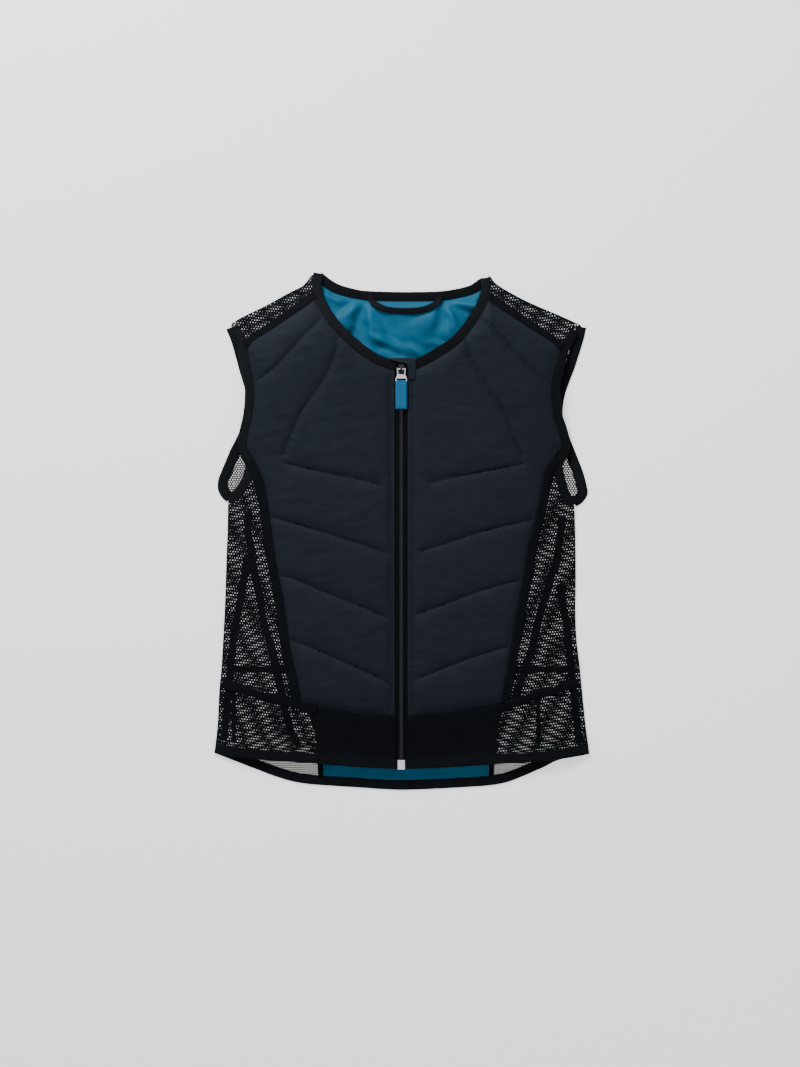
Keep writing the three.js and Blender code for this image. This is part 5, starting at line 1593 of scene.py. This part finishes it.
@dataclass(frozen=True)
class Wardrobe:
    """All the finishes of the vest."""

    quilted: Cloth = Cloth("quilted_cloth", rgb(17, 21, 28), rgb(26, 32, 43),
                           Weave.PLAIN, 0.42 * MM, 0.35, 0.66, 0.1)
    garage: Cloth = Cloth("garage_cloth", rgb(18, 22, 29), rgb(27, 33, 44),
                          Weave.PLAIN, 0.42 * MM, 0.35, 0.6, 0.1)
    knit: Cloth = Cloth("knit_band", rgb(7, 9, 13), rgb(13, 16, 23), Weave.KNIT, 0.9 * MM, 0.6, 0.8, 0.05)
    net: Cloth = Cloth("net_yarn", rgb(6, 8, 12), rgb(15, 18, 25), Weave.RIB, 0.5 * MM, 0.3, 0.75, 0.06)
    tape: Cloth = Cloth("seam_tape", rgb(5, 7, 11), rgb(12, 15, 22),
                        Weave.HERRINGBONE, 0.6 * MM, 0.4, 0.7, 0.05)
    edging: Cloth = Cloth("edge_binding", rgb(6, 8, 12), rgb(14, 17, 23),
                          Weave.RIB, 0.8 * MM, 0.5, 0.62, 0.07)
    zip_tape: Cloth = Cloth("zip_tape_weave", rgb(6, 8, 12), rgb(13, 16, 23),
                            Weave.HERRINGBONE, 0.7 * MM, 0.6, 0.7, 0.05)
    # Painted shade: the lining's large clouds of darker and lighter turquoise stand in for the shade of its
    # folds, over its own turquoise
    lining: Cloth = Cloth("turquoise_lining", rgb(0, 70, 98), rgb(1, 100, 133),
                          Weave.PLAIN, 0.34 * MM, 0.25, 0.55, 0.15, 0.35, 0.05)
    thread: Cloth = Cloth("sewing_thread", rgb(5, 6, 9), rgb(14, 17, 24), Weave.RIB, 0.3 * MM, 0.3, 0.5, 0.05)
    tab: Solid = Solid("ribbed_pull", rgb(0, 76, 114), rgb(4, 96, 138), 0.5, 0.0, 0.0012, 0.2, 0.2)
    bright: Solid = Solid("bright_metal", rgb(200, 196, 202), rgb(232, 228, 230), 0.24, 1.0, 0.0015, 0.08)
    black: Solid = Solid("black_metal", rgb(12, 13, 16), rgb(24, 26, 31), 0.4, 0.4, 0.0012, 0.12)
    teeth: Solid = Solid("zip_teeth_metal", rgb(26, 28, 33), rgb(52, 54, 60), 0.34, 0.3, 0.0012, 0.1)


@dataclass
class Studio:
    """The floor, lights and camera."""

    distance: float = 3.81
    lens: float = 100.0
    aim: tuple[float, float] = (-0.0024, -0.003)
    glow: float = 0.68

    def floor(self) -> None:
        """A plain pale floor."""
        tree = Tree("pale_floor")
        place = tree.node("TexCoord", None, "Object")
        soft = tree.node("TexNoise", None, 0, Vector=place, Scale=3.0, Detail=2.0)
        white = tree.blend(soft, (0.93, 0.93, 0.93, 1), (0.95, 0.95, 0.95, 1))
        finish = tree.finish(Base_Color=white, Roughness=0.9, Specular_IOR_Level=0.1,
                             Emission_Color=(1, 1, 1, 1), Emission_Strength=self.glow)
        size = 6.0
        corners = np.array([(-size, -size, 0), (size, -size, 0), (size, size, 0), (-size, size, 0)])
        make("floor", corners, [[0, 1, 2, 3]], [finish])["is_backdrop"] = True

    def light(self, name: str, place: tuple[float, float, float], size: float, power: float) -> None:
        """A soft lamp that faces the vest."""
        lamp = bpy.data.lights.new(name, "AREA")
        lamp.size, lamp.energy = size, power
        thing = bpy.data.objects.new(name, lamp)
        thing.location = place
        thing.rotation_euler = (-Vector(place)).to_track_quat("-Z", "Y").to_euler()
        bpy.context.scene.collection.objects.link(thing)

    def build(self) -> None:
        """Sets up the floor, the lamps, the surroundings and the camera."""
        self.floor()
        self.light("key_lamp", (-1.0, 2.2, 1.6), 1.0, 120.0)
        self.light("fill_lamp", (1.6, -1.2, 2.4), 2.4, 20.0)
        self.light("top_lamp", (0.2, 0.3, 3.4), 2.6, 22.0)
        world = bpy.data.worlds.new("surroundings")
        world.use_nodes = True
        background = world.node_tree.nodes["Background"]
        background.inputs["Color"].default_value = (1, 1, 1, 1)
        background.inputs["Strength"].default_value = 0.32
        bpy.context.scene.world = world
        view = bpy.data.cameras.new("camera")
        view.lens, view.sensor_width = self.lens, 36
        view.clip_end = 50
        camera = bpy.data.objects.new("camera", view)
        camera.location = (*self.aim, self.distance)
        bpy.context.scene.collection.objects.link(camera)
        bpy.context.scene.camera = camera


def dress_node(name: str, finish: bpy.types.Material, bevel: float) -> None:
    """Gives a carried-over solid its finish and rounded edges."""
    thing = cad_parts[name]
    thing.data.materials.clear()
    thing.data.materials.append(finish)
    rounding = thing.modifiers.new("rounding", "BEVEL")
    rounding.width, rounding.segments, rounding.angle_limit = bevel, 2, math.radians(35)


def sew(
    fronts: dict[str, Front], panels: dict[str, bpy.types.Object], strips: dict[str, bpy.types.Object],
    back: Back, thread: bpy.types.Material,
) -> None:
    """Sews the channels, the plackets and the strips' edges.

    Args:
        fronts: the two halves of the front.
        panels: the padded panels, by side, and "back".
        strips: the bindings and tapes, by name.
        back: the back.
        thread: the stitches' finish.
    """
    work = Stitching()
    for side, front in fronts.items():
        outward = OUTWARD[side]
        for channel in front.channels:
            work.run(channel, panels[side])
        x = front.zip_x + outward * front.placket
        top = float(front.line["neck"][-1, 1]) - 6 * MM
        work.run(np.array([(x, PATTERN.hem_y + 0.07), (x, top)]), panels[side])
        for name, width, path in (
            (f"neck_binding_front_{side}", NECK_BINDING, front.line["neck"]),
            (f"armhole_binding_front_{side}", ARMHOLE_BINDING, front.line["armhole_front"]),
        ):
            inward = outward if name.startswith("neck") else -outward
            work.run(shift(path, inward * (width / 2 - work.inset)), strips[name])
        hem = shift(front.line["front_hem"], -outward * (HEM_BINDING - work.inset))
        work.run(hem, strips[f"hem_binding_front_{side}"])
        for upward in (True, False):
            line = shift(PATTERN.lines["armhole_back"][side], -outward * 3.4 * MM)
            work.run(line, strips[f"armhole_binding_back_{side}"], upward)
    for channel in back.channels:
        work.run(channel, panels["back"], False)
    for name, path in (
        ("neck_binding_back", shift(PATTERN.back_neck, -3.9 * MM)),
        ("hem_binding_back", shift(back.hem, 4.4 * MM)),
    ):
        for upward in (True, False):
            work.run(path, strips[name], upward)
    work.build("stitches", thread)


def main() -> None:
    """Builds the vest, piece by piece, and its studio."""
    logging.basicConfig(level=logging.INFO, format="%(message)s")
    kit = Wardrobe()
    finish = {name: getattr(kit, name).material() for name in kit.__dataclass_fields__}
    Studio().build()
    back = Back()
    panels = {"back": back.panel(finish["quilted"])}
    back.lining(finish["lining"])
    back.nets(finish["net"])
    strips = {piece.name: piece for piece in back.tapes(finish["tape"], finish["edging"])}
    back.loop(finish["edging"])
    fronts = {side: Front(side) for side in SIDES}
    for side, front in fronts.items():
        panels[side] = front.panel(finish["quilted"], finish["lining"])
        front.nets(finish["net"])
        front.band(finish["knit"])
        for piece in front.tapes(finish["tape"], finish["edging"]):
            strips[piece.name] = piece
    strips = {name.removesuffix("_fold").removesuffix("_strip"): piece for name, piece in strips.items()}
    fastener = Zip()
    fastener.tapes(finish["zip_tape"])
    fastener.teeth(finish["teeth"])
    fastener.bail(finish["bright"])
    fastener.tab(finish["tab"])
    fastener.garage(finish["garage"])
    dress_node("zip_slider", finish["black"], 0.25 * MM)
    dress_node("zip_bottom_stop", finish["bright"], 0.2 * MM)
    sew(fronts, panels, strips, back, finish["thread"])
    meshes = [thing.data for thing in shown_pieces() if thing.type == "MESH"]
    triangles = sum(len(face.vertices) - 2 for mesh in meshes for face in mesh.polygons)
    log.info("%d triangles", triangles)


if __name__ == "__main__":
    main()
